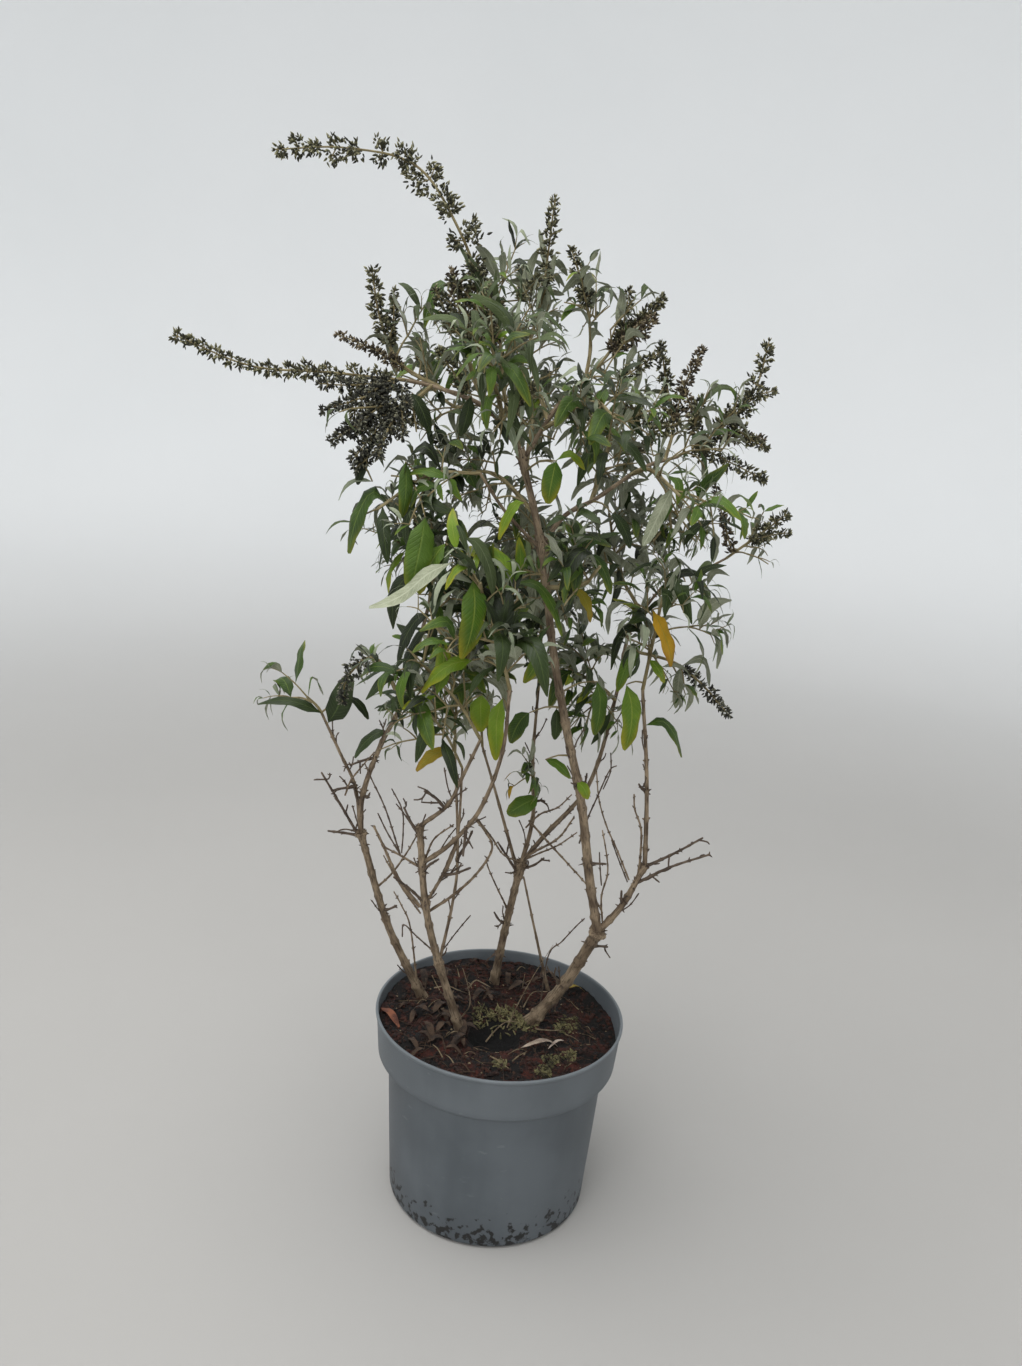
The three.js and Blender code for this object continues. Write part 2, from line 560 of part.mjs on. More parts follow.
// A point is in a mass's space where its stem is the nearest, each in its own reach.
function inSpace(mass, point) {
  const { reach } = mass.spec;
  const own = nearest(mass.samples, point);
  if (own > reach) return false;
  return masses.every((other) => {
    if (other === mass) return true;
    return nearest(other.samples, point) / other.spec.reach > (own + CLEARANCE.space) / reach;
  });
}

function clearOfLimbs(point) {
  for (const limb of limbs.values()) {
    const thickest = Math.max(...limb.spec.radii);
    if (nearest(limb.samples, point) < thickest + CLEARANCE.limb) return false;
  }
  return point.z > POT.height;
}

const crowds = (mass, points) => points.some((point) => nearest(mass.taken, point) < CLEARANCE.leaf);
const fits = (mass, points) => points.every((point) => inSpace(mass, point) && clearOfLimbs(point));

// ---------------------------------------------------------------- leaves, twigs and plumes

// Where a leaf's root, widest part and tip lie, and its directions there.
function leafLayout(root, out, length, seedKeys) {
  const rise = mix(...LEAF.rise, noise(...seedKeys, 1));
  const fall = mix(...LEAF.fall, noise(...seedKeys, 2));
  const first = out.clone().add(vec(0, 0, rise)).normalize();
  const second = out.clone().add(vec(0, 0, -fall)).normalize();
  const middle = root.clone().addScaledVector(first, length * LEAF.widestAt);
  const tip = middle.clone().addScaledVector(second, length * (1 - LEAF.widestAt));
  const side = crossFrame(out)[0].applyAxisAngle(out, mix(-LEAF.roll, LEAF.roll, noise(...seedKeys, 3)));
  return { root, first, second, middle, tip, side, length, width: length * LEAF.widthRatio };
}

const squareTo = (a, b) => vec(0, 0, 0).crossVectors(a, b).normalize();

// A leaf has five corners: its root on the twig's axis, the top of the midrib, the two
// edges of its widest part, and its tip.
const LEAF_CORNERS = ['root', 'ridge', 'left', 'right', 'tip'];
const LEAF_FACES = [
  'root ridge left', 'root right ridge', 'root left right',
  'tip left ridge', 'tip ridge right', 'tip right left',
];

function leafSolid(leaf) {
  const { root, first, second, middle, side } = leaf;
  const normal = squareTo(side, first).add(squareTo(side, second)).normalize();
  const thickness = Math.max(LEAF.thinnest, leaf.length * LEAF.thicknessRatio);
  const corners = [
    root,
    middle.clone().addScaledVector(normal, thickness),
    middle.clone().addScaledVector(side, -leaf.width / 2),
    middle.clone().addScaledVector(side, leaf.width / 2),
    leaf.tip,
  ];
  const geometry = new THREE.BufferGeometry().setFromPoints(corners);
  const cornerOf = (name) => LEAF_CORNERS.indexOf(name);
  geometry.setIndex(LEAF_FACES.flatMap((face) => face.split(' ').map(cornerOf)));
  return formed(geometry, vec);
}

// Points over a leaf, at which its surroundings are tested.
function leafPoints(leaf) {
  const points = [leaf.tip];
  const steps = Math.ceil(leaf.length / LEAF.sample);
  for (let i = 1; i < steps; i += 1) {
    const run = (i / steps) * leaf.length;
    if (run < CLEARANCE.root) continue;
    const share = run / leaf.length;
    const inner = share < LEAF.widestAt;
    const local = inner ? share / LEAF.widestAt : (share - LEAF.widestAt) / (1 - LEAF.widestAt);
    const [from, to] = inner ? [leaf.root, leaf.middle] : [leaf.middle, leaf.tip];
    const centre = from.clone().lerp(to, local);
    const half = (leaf.width / 2) * (inner ? local : 1 - local);
    points.push(centre);
    points.push(centre.clone().addScaledVector(leaf.side, half));
    points.push(centre.clone().addScaledVector(leaf.side, -half));
  }
  return points;
}

// A three-sided twig that ends just inside the foot of its plume, where it has one.
function twigSolid(shoot) {
  const [root, tip] = shoot.radii;
  const places = [];
  for (let ring = 0; ring <= shoot.steps; ring += 1) places.push(ringPlace(shoot, ring));
  return tubeThrough(places, (share) => mix(root, tip, share), 3);
}

const ringPlace = (shoot, ring) => shoot.curve.getPointAt((shoot.leafy * ring) / shoot.steps);

// The place on a twig's straight stretches at a share of its whole length.
function axisPlace(shoot, share) {
  const run = Math.min(share / shoot.leafy, 1) * shoot.steps;
  const ring = Math.min(Math.floor(run), shoot.steps - 1);
  return ringPlace(shoot, ring).lerp(ringPlace(shoot, ring + 1), run - ring);
}

// A spent flower spike: a four-sided stem whose sides run out in turn, in opposite pairs,
// to the pointed seed clusters.
function plumeSolid({ curve, length, plume, keys }) {
  const pairs = Math.max(2, Math.floor(plume / PLUME.spacing));
  const steps = 2 * pairs;
  const foot = 1 - plume / length;
  const stemRadius = foot > 0 ? PLUME.stemRadius : PLUME.sideRadius;
  const places = [];
  for (let ring = 0; ring <= steps; ring += 1) places.push(curve.getPointAt(mix(foot, 1, ring / steps)));
  const frames = framesThrough(places);
  return formed(new THREE.CylinderGeometry(1, 1, 1, 4, steps), (x, y, z) => {
    const ring = Math.round((y + 0.5) * steps);
    const { along, side, third } = frames[ring];
    const place = frames[ring].place.clone();
    if (Math.hypot(x, z) < 0.5) return place;
    const quarter = Math.round((Math.atan2(x, z) / Math.PI) * 2);
    const pair = (ring - 1) / 2;
    const isCluster = Number.isInteger(pair) && (quarter + pair) % 2 === 0;
    const out = vec(0, 0, 0).addScaledVector(side, x).addScaledVector(third, z);
    if (!isCluster) return place.addScaledVector(out, mix(stemRadius, PLUME.endRadius, ring / steps));
    const reach = mix(PLUME.width, PLUME.tipWidth, (pair / pairs) ** PLUME.fade) / 2;
    const grown = reach * mix(...PLUME.stray, noise(...keys, ring, quarter + 2));
    return place.addScaledVector(out, grown).addScaledVector(along, grown * PLUME.lean);
  });
}

function radial(along, angle) {
  return crossFrame(along)[0].applyAxisAngle(along, angle);
}

// ---------------------------------------------------------------- one mass of foliage

// Leaves in crossed pairs along a twig, up to the foot of its plume.
function leafPairs(mass, shoot, parts) {
  const pairs = Math.max(1, Math.floor((shoot.length - shoot.plume) / shoot.spacing));
  for (let i = 1; i <= pairs; i += 1) {
    for (const face of [0, 1]) addLeaf(mass, shoot, i / pairs, [...shoot.keys, i, face], parts);
  }
}

// Where a leaf points as it leaves its twig.
function leafDirection(along, angle, forward) {
  const out = radial(along, angle).addScaledVector(along, forward).normalize();
  out.z = Math.min(out.z, LEAF.steepest);
  return out.normalize();
}

// One leaf at a share of the leafy part of a twig, at the first size that keeps clear.
function addLeaf(mass, shoot, leafyShare, keys, parts) {
  const [pair, face] = keys.slice(-2);
  const share = leafyShare * TWIG.lastPair * shoot.leafy;
  const root = axisPlace(shoot, share);
  const along = shoot.curve.getTangentAt(share);
  const angle = pair * (Math.PI / 2) + face * Math.PI + mix(-LEAF.turn, LEAF.turn, noise(...keys, 7));
  const out = leafDirection(along, angle, mix(...LEAF.forward, noise(...keys, 8)));
  const size = mass.spec.leaf * mix(...LEAF.spread, noise(...keys, 9)) * mix(...LEAF.taper, share);
  for (const scale of LEAF.sizes) {
    const leaf = leafLayout(root, out, size * scale, keys);
    const points = leafPoints(leaf);
    if (!fits(mass, points) || crowds(mass, points)) continue;
    parts.push(leafSolid(leaf));
    mass.taken.push(...points);
    return;
  }
}

function addShoot(mass, shoot, parts) {
  if (shoot.plume < shoot.length) parts.push(twigSolid(shoot));
  if (shoot.plume > 0) parts.push(plumeSolid(shoot));
  mass.taken.push(...shootPoints(shoot));
}

// A leafy side shoot of the stem.
function sideShoot(mass, index) {
  const { spec, seed } = mass;
  const keys = [seed, index + 10];
  const leafy = 1 - spec.plume / mass.length;
  const share = mix(SHOOT.first, SHOOT.last, (index + 0.5) / spec.shoots) * leafy;
  const root = axisPlace(mass.stem, share);
  const along = mass.curve.getTangentAt(share);
  const turn = index * SHOOT.turn + mix(-SHOOT.stray, SHOOT.stray, noise(...keys, 1));
  const out = radial(along, turn).multiplyScalar(Math.sin(SHOOT.angle));
  out.addScaledVector(along, Math.cos(SHOOT.angle));
  const size = mix(SHOOT.shortest, SHOOT.longest, noise(...keys, 2)) * (1 - SHOOT.shrink * share);
  const length = spec.reach * size;
  const tip = root.clone().addScaledVector(out, length).add(vec(0, 0, -SHOOT.droop * length));
  const line = new THREE.LineCurve3(root, tip);
  return shootAlong(line, 0, TWIG.shootSpacing, [TWIG.shootRadius, TWIG.shootRadius], keys);
}

function shootAlong(curve, plume, spacing, radii, keys) {
  const length = curve.getLength();
  const flower = Math.min(plume, length - 2 * PLUME.overlap);
  const leafy = flower > 0 ? (length - flower + PLUME.overlap) / length : 1;
  const steps = curve.isLineCurve3 ? 1 : Math.max(1, Math.round((length * leafy) / TWIG.stepLength));
  return { curve, length, plume: flower, leafy, steps, spacing, radii, keys };
}

// A side spike with its tip at a given place.
function sidePlume(mass, index) {
  const [share, x, y, z] = mass.spec.plumes[index];
  const curve = new THREE.LineCurve3(axisPlace(mass.stem, share), vec(x, y, z));
  const length = curve.getLength();
  return { curve, length, plume: length, keys: [mass.seed, index + 40] };
}

function shootPoints(shoot) {
  const points = shoot.curve.getSpacedPoints(Math.ceil(shoot.length / LEAF.sample));
  return points.filter((point) => point.distanceTo(points[0]) > CLEARANCE.root);
}

function buildMass(mass, cutters) {
  const { spec } = mass;
  const parts = [];
  const shoots = [mass.stem];
  mass.taken = [];
  addShoot(mass, mass.stem, parts);
  spec.plumes.forEach((_, index) => addShoot(mass, sidePlume(mass, index), parts));
  for (let i = 0; i < spec.shoots; i += 1) {
    const shoot = sideShoot(mass, i);
    const points = shootPoints(shoot);
    if (!fits(mass, points) || crowds(mass, points)) continue;
    addShoot(mass, shoot, parts);
    shoots.push(shoot);
  }
  for (const shoot of shoots) leafPairs(mass, shoot, parts);
  const joined = parts.reduce((all, part) => all.add(part));
  return cutClear(joined, cutters);
}

// ---------------------------------------------------------------- the whole plant

function assemble() {
  const plant = new THREE.Group();
  LIMBS.forEach(buildLimb);
  masses.forEach(layOutMass);
  const stems = [...limbs.values()];
  const feet = stems.filter((limb) => limb.spec.foot).map((limb) => limb.cutter);
  plant.add(asMesh('pot', potSolid(), LOOKS.pot));
  plant.add(asMesh('soil', soilSolid(feet), LOOKS.soil));
  for (const limb of stems) plant.add(asMesh(limb.spec.name, limb.solid, LOOKS.bark));
  const cutters = stems.map((limb) => limb.cutter);
  for (const mass of masses) {
    const solid = buildMass(mass, cutters);
    plant.add(asMesh(`leaves_${mass.spec.name}`, solid, LOOKS.leaves));
    cutters.push(stemClearance(mass));
  }
  return plant;
}

// Room for a mass's own stem, which later masses are cut clear of.
function stemClearance(mass) {
  const steps = Math.max(3, Math.round(mass.length / TWIG.stepLength));
  const room = TWIG.stemRadius + 1.5 * GAP;
  return tube(mass.curve, () => room, 6, steps);
}

export default assemble();
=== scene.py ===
"""The looks of a butterfly bush in its plastic nursery pot.

Lengths are in millimetres until a mesh is made.  +Z is up, the origin is the centre of the
pot's flat underside, and the bush's widest side faces -Y.  The limbs and the masses of
foliage grow by the same rule as the solids do, and end in finer twigs and smaller leaves.
"""
import json
import math

import bpy
import numpy as np
from mathutils import Matrix, Vector
from mathutils import noise as relief_noise

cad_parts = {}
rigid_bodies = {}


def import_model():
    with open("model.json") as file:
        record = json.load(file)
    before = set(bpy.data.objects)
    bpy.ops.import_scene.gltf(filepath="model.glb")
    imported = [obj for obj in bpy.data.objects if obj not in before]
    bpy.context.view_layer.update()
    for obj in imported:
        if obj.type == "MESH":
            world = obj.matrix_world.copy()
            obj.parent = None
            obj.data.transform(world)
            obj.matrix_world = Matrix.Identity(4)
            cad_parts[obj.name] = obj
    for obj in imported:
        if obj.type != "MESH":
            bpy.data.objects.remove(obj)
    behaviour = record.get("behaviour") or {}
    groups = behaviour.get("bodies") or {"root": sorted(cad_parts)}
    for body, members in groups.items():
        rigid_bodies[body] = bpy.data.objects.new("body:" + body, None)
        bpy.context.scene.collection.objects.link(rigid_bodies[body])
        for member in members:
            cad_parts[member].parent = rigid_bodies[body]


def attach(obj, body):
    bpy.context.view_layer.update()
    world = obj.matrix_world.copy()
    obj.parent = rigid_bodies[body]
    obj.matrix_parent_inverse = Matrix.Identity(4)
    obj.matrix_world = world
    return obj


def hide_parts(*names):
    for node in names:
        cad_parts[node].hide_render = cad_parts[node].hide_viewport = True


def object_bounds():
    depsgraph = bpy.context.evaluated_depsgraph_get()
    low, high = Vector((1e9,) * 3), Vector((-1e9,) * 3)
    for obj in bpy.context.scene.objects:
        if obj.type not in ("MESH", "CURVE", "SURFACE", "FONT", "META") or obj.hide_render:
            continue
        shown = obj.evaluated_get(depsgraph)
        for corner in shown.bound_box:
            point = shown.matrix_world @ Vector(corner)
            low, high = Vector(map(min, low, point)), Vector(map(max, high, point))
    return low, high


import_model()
cad_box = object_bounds()

MM = 0.001

# ---------------------------------------------------------------- pot and soil

POT = dict(
    height=175, rim_radius=110, base_radius=89, shoulder_radius=96.5, band_radius=106,
    band_height=38, step_height=7, wall=1.8, floor=2.2, lip_width=2.4, lip_drop=3.5, lip_edge=1,
    foot_edge=3, step_edge=2, rounding=0.9, hub=8, sides=128,
)
DRAIN = dict(holes=6, ring_radius=58, radius=6, sides=32)
SOIL = dict(level=160, fall_to_right=0.045, rise_to_back=0.02, bump=1.1)
# Long waves of the soil: radians a millimetre to the right and to the back, and the start.
SOIL_WAVES = [(0.11, 0.04, 1.3), (0.05, -0.13, 0)]
SOIL_GRID = dict(rings=84, sides=220, centre=1.2, edge_drop=8)
HOLLOW = dict(x=-4, y=-18, radius=23, depth=18)
GAP = 0.3
FOOT_SINK = 1.5
FLARE = dict(gain=0.55, reach=14)
BAND_FOOT = POT["height"] - POT["band_height"]
SHOULDER = BAND_FOOT - POT["step_height"]

# ---------------------------------------------------------------- stems and boughs

# A limb starts at a foot on the soil, or at a share "at" of its parent's length, and runs
# through its way points to its tip.  "dead" lists its dead spurs, if any, as (share, x, y, z of
# the tip).
LIMBS = [
    dict(name="stem_left", foot=(-71, 28), radii=(4.3, 3.4), way=[(-106, 18, 238), (-132, 0, 331)],
         dead=[(0.93, -166, -8, 385), (0.98, -160, 0, 330), (0.55, -98, 8, 262)]),
    dict(name="stem_inner_left", foot=(-33, -19), radii=(4.2, 3),
         way=[(-58, -32, 239), (-70, -42, 293), (-78, -45, 359)],
         dead=[(0.66, -96, -52, 316), (0.97, -92, -40, 372), (0.8, -60, -60, 338)]),
    dict(name="stem_centre", foot=(-7, 66), radii=(4.4, 3.6), way=[(0, 50, 231), (9, 30, 303)],
         dead=[(0.9, -14, 26, 322), (0.95, 28, 22, 312), (0.5, -12, 44, 246)]),
    dict(name="stem_right", foot=(28, 9), radii=(6.2, 5.4), way=[(55, -8, 209), (77, -25, 269)],
         dead=[(0.86, 88, -14, 250), (0.45, 42, -14, 222)]),
    dict(name="stem_thin", foot=(46, 61), radii=(1.8, 1), way=[(27, 48, 229), (12, 42, 284)]),
    dict(name="leader", parent="stem_right", at=1, radii=(4.7, 3),
         way=[(65, -30, 318), (51, -33, 388), (35, -36, 443), (17, -40, 512), (1, -42, 592),
              (-21, -38, 662)],
         dead=[(0.16, 76, -42, 338), (0.34, 44, -44, 402)]),
    dict(name="bough_right", parent="stem_right", at=1, radii=(3.7, 2.8),
         way=[(95, -25, 295), (111, -20, 330)],
         dead=[(0.75, 160, -38, 352), (0.98, 158, -12, 356), (0.45, 92, -34, 312)]),
    dict(name="bough_right_upright", parent="bough_right", at=1, radii=(2.4, 1.6),
         way=[(105, -15, 404), (94, -10, 479)], dead=[(0.42, 98, -22, 402)]),
    dict(name="bough_left_outer", parent="stem_left", at=1, radii=(1.9, 1.3),
         way=[(-139, 5, 370), (-152, 0, 400), (-168, -8, 437)], dead=[(0.35, -158, -4, 368)]),
    dict(name="bough_left", parent="stem_left", at=1, radii=(2.9, 1.7),
         way=[(-131, -5, 367), (-118, -12, 412), (-99, -20, 460), (-83, -20, 540)],
         dead=[(0.16, -124, -16, 372), (0.34, -142, -2, 392)]),
    dict(name="bough_inner_rear", parent="stem_inner_left", at=0.36, radii=(1.7, 1.2),
         way=[(-48, -20, 282), (-47, -10, 322), (-56, 5, 409)], dead=[(0.5, -36, -8, 344)]),
    dict(name="bough_inner_upright", parent="stem_inner_left", at=1, radii=(2.1, 1.4),
         way=[(-56, -60, 384), (-46, -70, 410), (-33, -85, 448)], dead=[(0.3, -74, -70, 398)]),
    dict(name="bough_inner_curved", parent="stem_inner_left", at=0.84, radii=(2.3, 1.5),
         way=[(-52, -56, 350), (-30, -70, 386), (-16, -90, 440), (-14, -100, 492)],
         dead=[(0.3, -40, -78, 350)]),
    dict(name="bough_inner_arched", parent="stem_inner_left", at=0.66, radii=(1.6, 1.1),
         way=[(-52, -50, 330), (-46, -58, 362), (-46, -66, 418)], dead=[(0.25, -34, -58, 332)]),
    dict(name="bough_centre_rear", parent="stem_centre", at=1, radii=(2.4, 1.5),
         way=[(16, 50, 340), (12, 75, 386), (12, 95, 446)], dead=[(0.35, 26, 58, 352)]),
    dict(name="bough_centre_left", parent="stem_centre", at=0.9, radii=(1.9, 1.3),
         way=[(-18, 60, 352), (-35, 80, 392)]),
    dict(name="bough_centre_right", parent="stem_centre", at=1, radii=(2.5, 1.7),
         way=[(28, 40, 327), (65, 60, 373), (82, 75, 454), (85, 75, 494), (91, 72, 536)],
         dead=[(0.3, 60, 44, 386)]),
    dict(name="bough_far_right", parent="bough_centre_right", at=0.9, radii=(1.5, 1.2),
         way=[(112, 64, 556), (139, 50, 572), (158, 40, 586)]),
    dict(name="crown_bough_left", parent="leader", at=1, radii=(2.5, 1.6),
         way=[(-48, -40, 690), (-84, -35, 702), (-111, -32, 706)]),
    dict(name="crown_bough_right", parent="leader", at=0.98, radii=(2.2, 1.6),
         way=[(6, -25, 699), (24, -15, 717)]),
    dict(name="side_bough_right", parent="leader", at=0.82, radii=(2.3, 1.5),
         way=[(17, -35, 616), (40, -25, 630), (74, -10, 655), (102, 0, 666)]),
    dict(name="side_bough_left", parent="leader", at=0.81, radii=(1.7, 1.3),
         way=[(-27, -60, 616), (-48, -75, 644)]),
]

# ---------------------------------------------------------------- masses of foliage

# A mass is a stem that leaves its parent limb, its side shoots, its leaves and its spent
# flower spikes.  "plume" is the length of the stem's own spike, and "plumes" lists side
# spikes as (share along the stem, x, y, z of the tip); either is left out where there is none.
MASSES = [
    dict(name="spire_left", parent="crown_bough_left", at=0.35, reach=62, plume=200, shoots=3, leaf=50,
         way=[(-64, -30, 724), (-61, -28, 774), (-81, -25, 819), (-113, -22, 856), (-164, -25, 863),
              (-213, -30, 857)],
         plumes=[(0.2, -84, -6, 790)]),
    dict(name="arm_left", parent="crown_bough_left", at=1, reach=64, plume=165, shoots=2, leaf=46,
         way=[(-126, -32, 706), (-170, -34, 707), (-225, -38, 707), (-280, -40, 724)],
         plumes=[(0.12, -140, -40, 668), (0.2, -150, -20, 672)]),
    dict(name="cluster_left", parent="crown_bough_left", at=0.8, reach=60, plume=50, shoots=3, leaf=44,
         way=[(-112, -52, 680), (-126, -60, 654), (-140, -62, 640)], plumes=[(0.5, -150, -55, 664)]),
    dict(name="tuft_left", parent="crown_bough_left", at=0.72, reach=62, plume=60, shoots=3, leaf=42,
         way=[(-116, -22, 718), (-134, -10, 748), (-144, 0, 784)],
         plumes=[(0.3, -166, -14, 736), (0.5, -126, -5, 772)]),
    dict(name="tuft_top_left", parent="leader", at=0.99, reach=66, plume=40, shoots=4, leaf=46,
         way=[(-36, -20, 700), (-44, 0, 745), (-62, 10, 794)], plumes=[(0.6, -80, 5, 780)]),
    dict(name="tuft_top", parent="crown_bough_right", at=0.45, reach=66, plume=76, shoots=4, leaf=46,
         way=[(-20, 20, 738), (-14, 28, 777), (-10, 35, 854)]),
    dict(name="tuft_top_right", parent="crown_bough_right", at=1, reach=60, plume=44, shoots=4, leaf=46,
         way=[(26, 0, 745), (20, 18, 780), (6, 25, 815)]),
    dict(name="tuft_far_right", parent="crown_bough_right", at=0.8, reach=62, plume=40, shoots=3, leaf=46,
         way=[(34, 0, 730), (52, 8, 755), (77, 10, 780)],
         plumes=[(0.5, 72, -8, 766), (0.62, 54, 20, 790)]),
    dict(name="crown_front", parent="crown_bough_left", at=0.2, reach=78, shoots=5, leaf=52,
         way=[(-40, -70, 700), (-52, -100, 722)]),
    dict(name="crown_rear", parent="leader", at=0.96, reach=68, plume=30, shoots=5, leaf=52,
         way=[(-14, 10, 690), (-24, 60, 722), (-30, 90, 762)]),
    dict(name="crown_rear_left", parent="crown_bough_left", at=0.5, reach=62, plume=34, shoots=5, leaf=50,
         way=[(-72, 10, 690), (-92, 50, 700), (-112, 78, 730)]),
    dict(name="crown_rear_right", parent="side_bough_right", at=0.4, reach=84, plume=34, shoots=5,
         leaf=52, way=[(48, 20, 664), (58, 60, 692), (62, 95, 732)]),
    dict(name="crown_front_right", parent="crown_bough_right", at=0.35, reach=72, shoots=5,
         leaf=50, way=[(28, -55, 700), (44, -85, 690)]),
    dict(name="spray_right", parent="side_bough_right", at=1, reach=64, plume=112, shoots=3, leaf=48,
         way=[(133, 4, 689), (157, 8, 721), (164, 10, 759)],
         plumes=[(0.3, 171, 15, 684), (0.15, 172, 0, 654)]),
    dict(name="spray_right_rear", parent="side_bough_right", at=0.92, reach=64, plume=60, shoots=3,
         leaf=48, way=[(98, 14, 690), (90, 24, 722), (83, 30, 753)], plumes=[(0.35, 118, 40, 752)]),
    dict(name="spray_right_front", parent="side_bough_right", at=0.7, reach=62, shoots=5,
         leaf=54, way=[(78, -40, 655), (96, -80, 640)]),
    dict(name="spray_right_low", parent="side_bough_right", at=0.85, reach=44, shoots=4, leaf=46,
         way=[(98, 4, 636), (104, -2, 606)]),
    dict(name="spray_left", parent="side_bough_left", at=1, reach=56, shoots=5, leaf=62,
         way=[(-84, -74, 640), (-122, -62, 612)]),
    dict(name="spray_left_rear", parent="leader", at=0.88, reach=66, plume=30, shoots=5, leaf=54,
         way=[(-38, 10, 640), (-68, 45, 642), (-92, 56, 664)]),
    dict(name="leader_front", parent="leader", at=0.74, reach=82, shoots=5, leaf=58,
         way=[(32, -80, 570), (42, -108, 588)]),
    dict(name="leader_rear", parent="leader", at=0.7, reach=80, shoots=5, leaf=52,
         way=[(2, 0, 570), (-8, 30, 590)]),
    dict(name="left_middle", parent="bough_left", at=1, reach=62, plume=30, shoots=5, leaf=60,
         way=[(-84, -20, 572), (-100, -22, 612)]),
    dict(name="left_plume", parent="bough_left", at=0.6, reach=36, plume=44, shoots=1, leaf=40,
         way=[(-122, -35, 493), (-142, -40, 478), (-146, -40, 456)]),
    dict(name="left_outer", parent="bough_left_outer", at=1, reach=66, shoots=1, leaf=52,
         way=[(-172, -9, 443), (-180, -10, 450)]),
    dict(name="front_middle", parent="bough_inner_curved", at=1, reach=86, shoots=5, leaf=70,
         way=[(-26, -106, 532), (-44, -110, 572)]),
    dict(name="front_low", parent="bough_inner_upright", at=1, reach=56, shoots=5, leaf=58,
         way=[(-52, -86, 476), (-80, -84, 502)]),
    dict(name="front_arched", parent="bough_inner_arched", at=1, reach=52, shoots=3, leaf=52,
         way=[(-60, -58, 440), (-76, -50, 456)]),
    dict(name="inner_rear", parent="bough_inner_rear", at=1, reach=78, shoots=4, leaf=54,
         way=[(-58, 18, 446), (-50, 28, 496)]),
    dict(name="rear_centre", parent="bough_centre_rear", at=1, reach=88, plume=34, shoots=5, leaf=58,
         way=[(10, 100, 500), (0, 108, 560), (-6, 112, 600)]),
    dict(name="rear_left", parent="bough_centre_left", at=1, reach=70, plume=30, shoots=5, leaf=58,
         way=[(-42, 88, 440), (-56, 94, 504), (-68, 96, 560)]),
    dict(name="rear_right", parent="bough_centre_right", at=1, reach=82, shoots=5, leaf=54,
         way=[(72, 75, 566), (60, 86, 612)]),
    dict(name="right_low", parent="bough_centre_right", at=0.66, reach=80, shoots=4, leaf=60,
         way=[(66, 60, 462), (46, 40, 476)]),
    dict(name="right_plume", parent="bough_centre_right", at=0.84, reach=58, plume=62, shoots=2, leaf=42,
         way=[(126, 60, 490), (152, 57, 474), (182, 55, 446)]),
    dict(name="far_right", parent="bough_far_right", at=1, reach=40, plume=40, shoots=2, leaf=34,
         way=[(183, 40, 608), (204, 40, 627)], plumes=[(0.1, 144, 55, 645), (0.4, 205, 30, 612)]),
    dict(name="right_middle", parent="bough_right_upright", at=1, reach=66, shoots=5, leaf=60,
         way=[(97, -14, 516), (100, -24, 560)]),
    dict(name="low_sprig", parent="bough_centre_rear", at=0.5, reach=50, shoots=0, leaf=38,
         way=[(13, 40, 384), (12, 24, 388)]),
]

LEAF = dict(
    width_ratio=0.27, widest_at=0.42, rise=(0, 0.3), fall=(0.5, 1.7), forward=(0.3, 0.9), turn=0.4,
    steepest=0.6, roll=0.5, spread=(0.75, 1.2), taper=(1.05, 0.8), sample=6, sizes=(1, 0.74, 0.54),
)
LEAF_FACE = dict(outward=0.9, skew=0.3)
TWIG = dict(node_spacing=28, shoot_spacing=20, stem_radius=2.1, stem_tip=1.1, shoot_radius=0.95,
            shoot_tip=0.6, last_pair=0.95)
SPIKE_OVERLAP = 1.5  # the leafy part of a stem ends this far past the foot of its spike
CLEARANCE = dict(limb=3.6, space=2, root=7, leaf=2.4, box=1)
SHOOT = dict(angle=0.95, turn=2.4, shortest=0.35, longest=0.62, shrink=0.3, droop=0.2, arch=0.06,
             first=0.2, last=0.95, stray=0.5)

# ---------------------------------------------------------------- small helpers

MASK = 0xFFFFFFFF
HASH_START = 2166136261
HASH_PRIME = 16777619
HASH_MIXER = 1540483477
HASH_SHIFT = 1013
UP = np.array([0.0, 0.0, 1.0])
NEAR_UPRIGHT = 0.9


def noise(*keys):
    """A repeatable number from 0 to 1 for any list of whole-number keys."""
    h = HASH_START
    for key in keys:
        h = ((h ^ ((key + HASH_SHIFT) & MASK)) * HASH_PRIME) & MASK
        h ^= h >> 13
        h = (h * HASH_MIXER) & MASK
        h ^= h >> 15
    return h / (MASK + 1)


def mix(a, b, share):
    return a + (b - a) * share


def between(limits, *keys):
    return mix(limits[0], limits[1], noise(*keys))


def vec(*values):
    return np.array(values, float)


def unit(v):
    return v / max(1e-9, float(np.linalg.norm(v)))


def units(rows):
    return rows / np.linalg.norm(rows, axis=1, keepdims=True)


def cross_frame(along):
    """Two directions square to "along": level sideways, and the third."""
    pole = vec(1, 0, 0) if abs(along[2]) > NEAR_UPRIGHT else UP
    side = unit(np.cross(along, pole))
    return side, unit(np.cross(side, along))


def turned(v, axis, angle):
    """v turned about an axis of length 1."""
    c, s = math.cos(angle), math.sin(angle)
    return v * c + np.cross(axis, v) * s + axis * float(axis @ v) * (1 - c)


def radial(along, angle):
    """A direction square to "along"."""
    return turned(cross_frame(along)[0], along, angle)


def sprout(along, angle, forward, up=0.0):
    """The direction in which a shoot or a bud leaves its twig."""
    return unit(radial(along, angle) + along * forward + UP * up)


def axil(index, face):
    """The angle of a pair's left or right half: each pair stands across the one before it."""
    return index * math.pi / 2 + face * math.pi


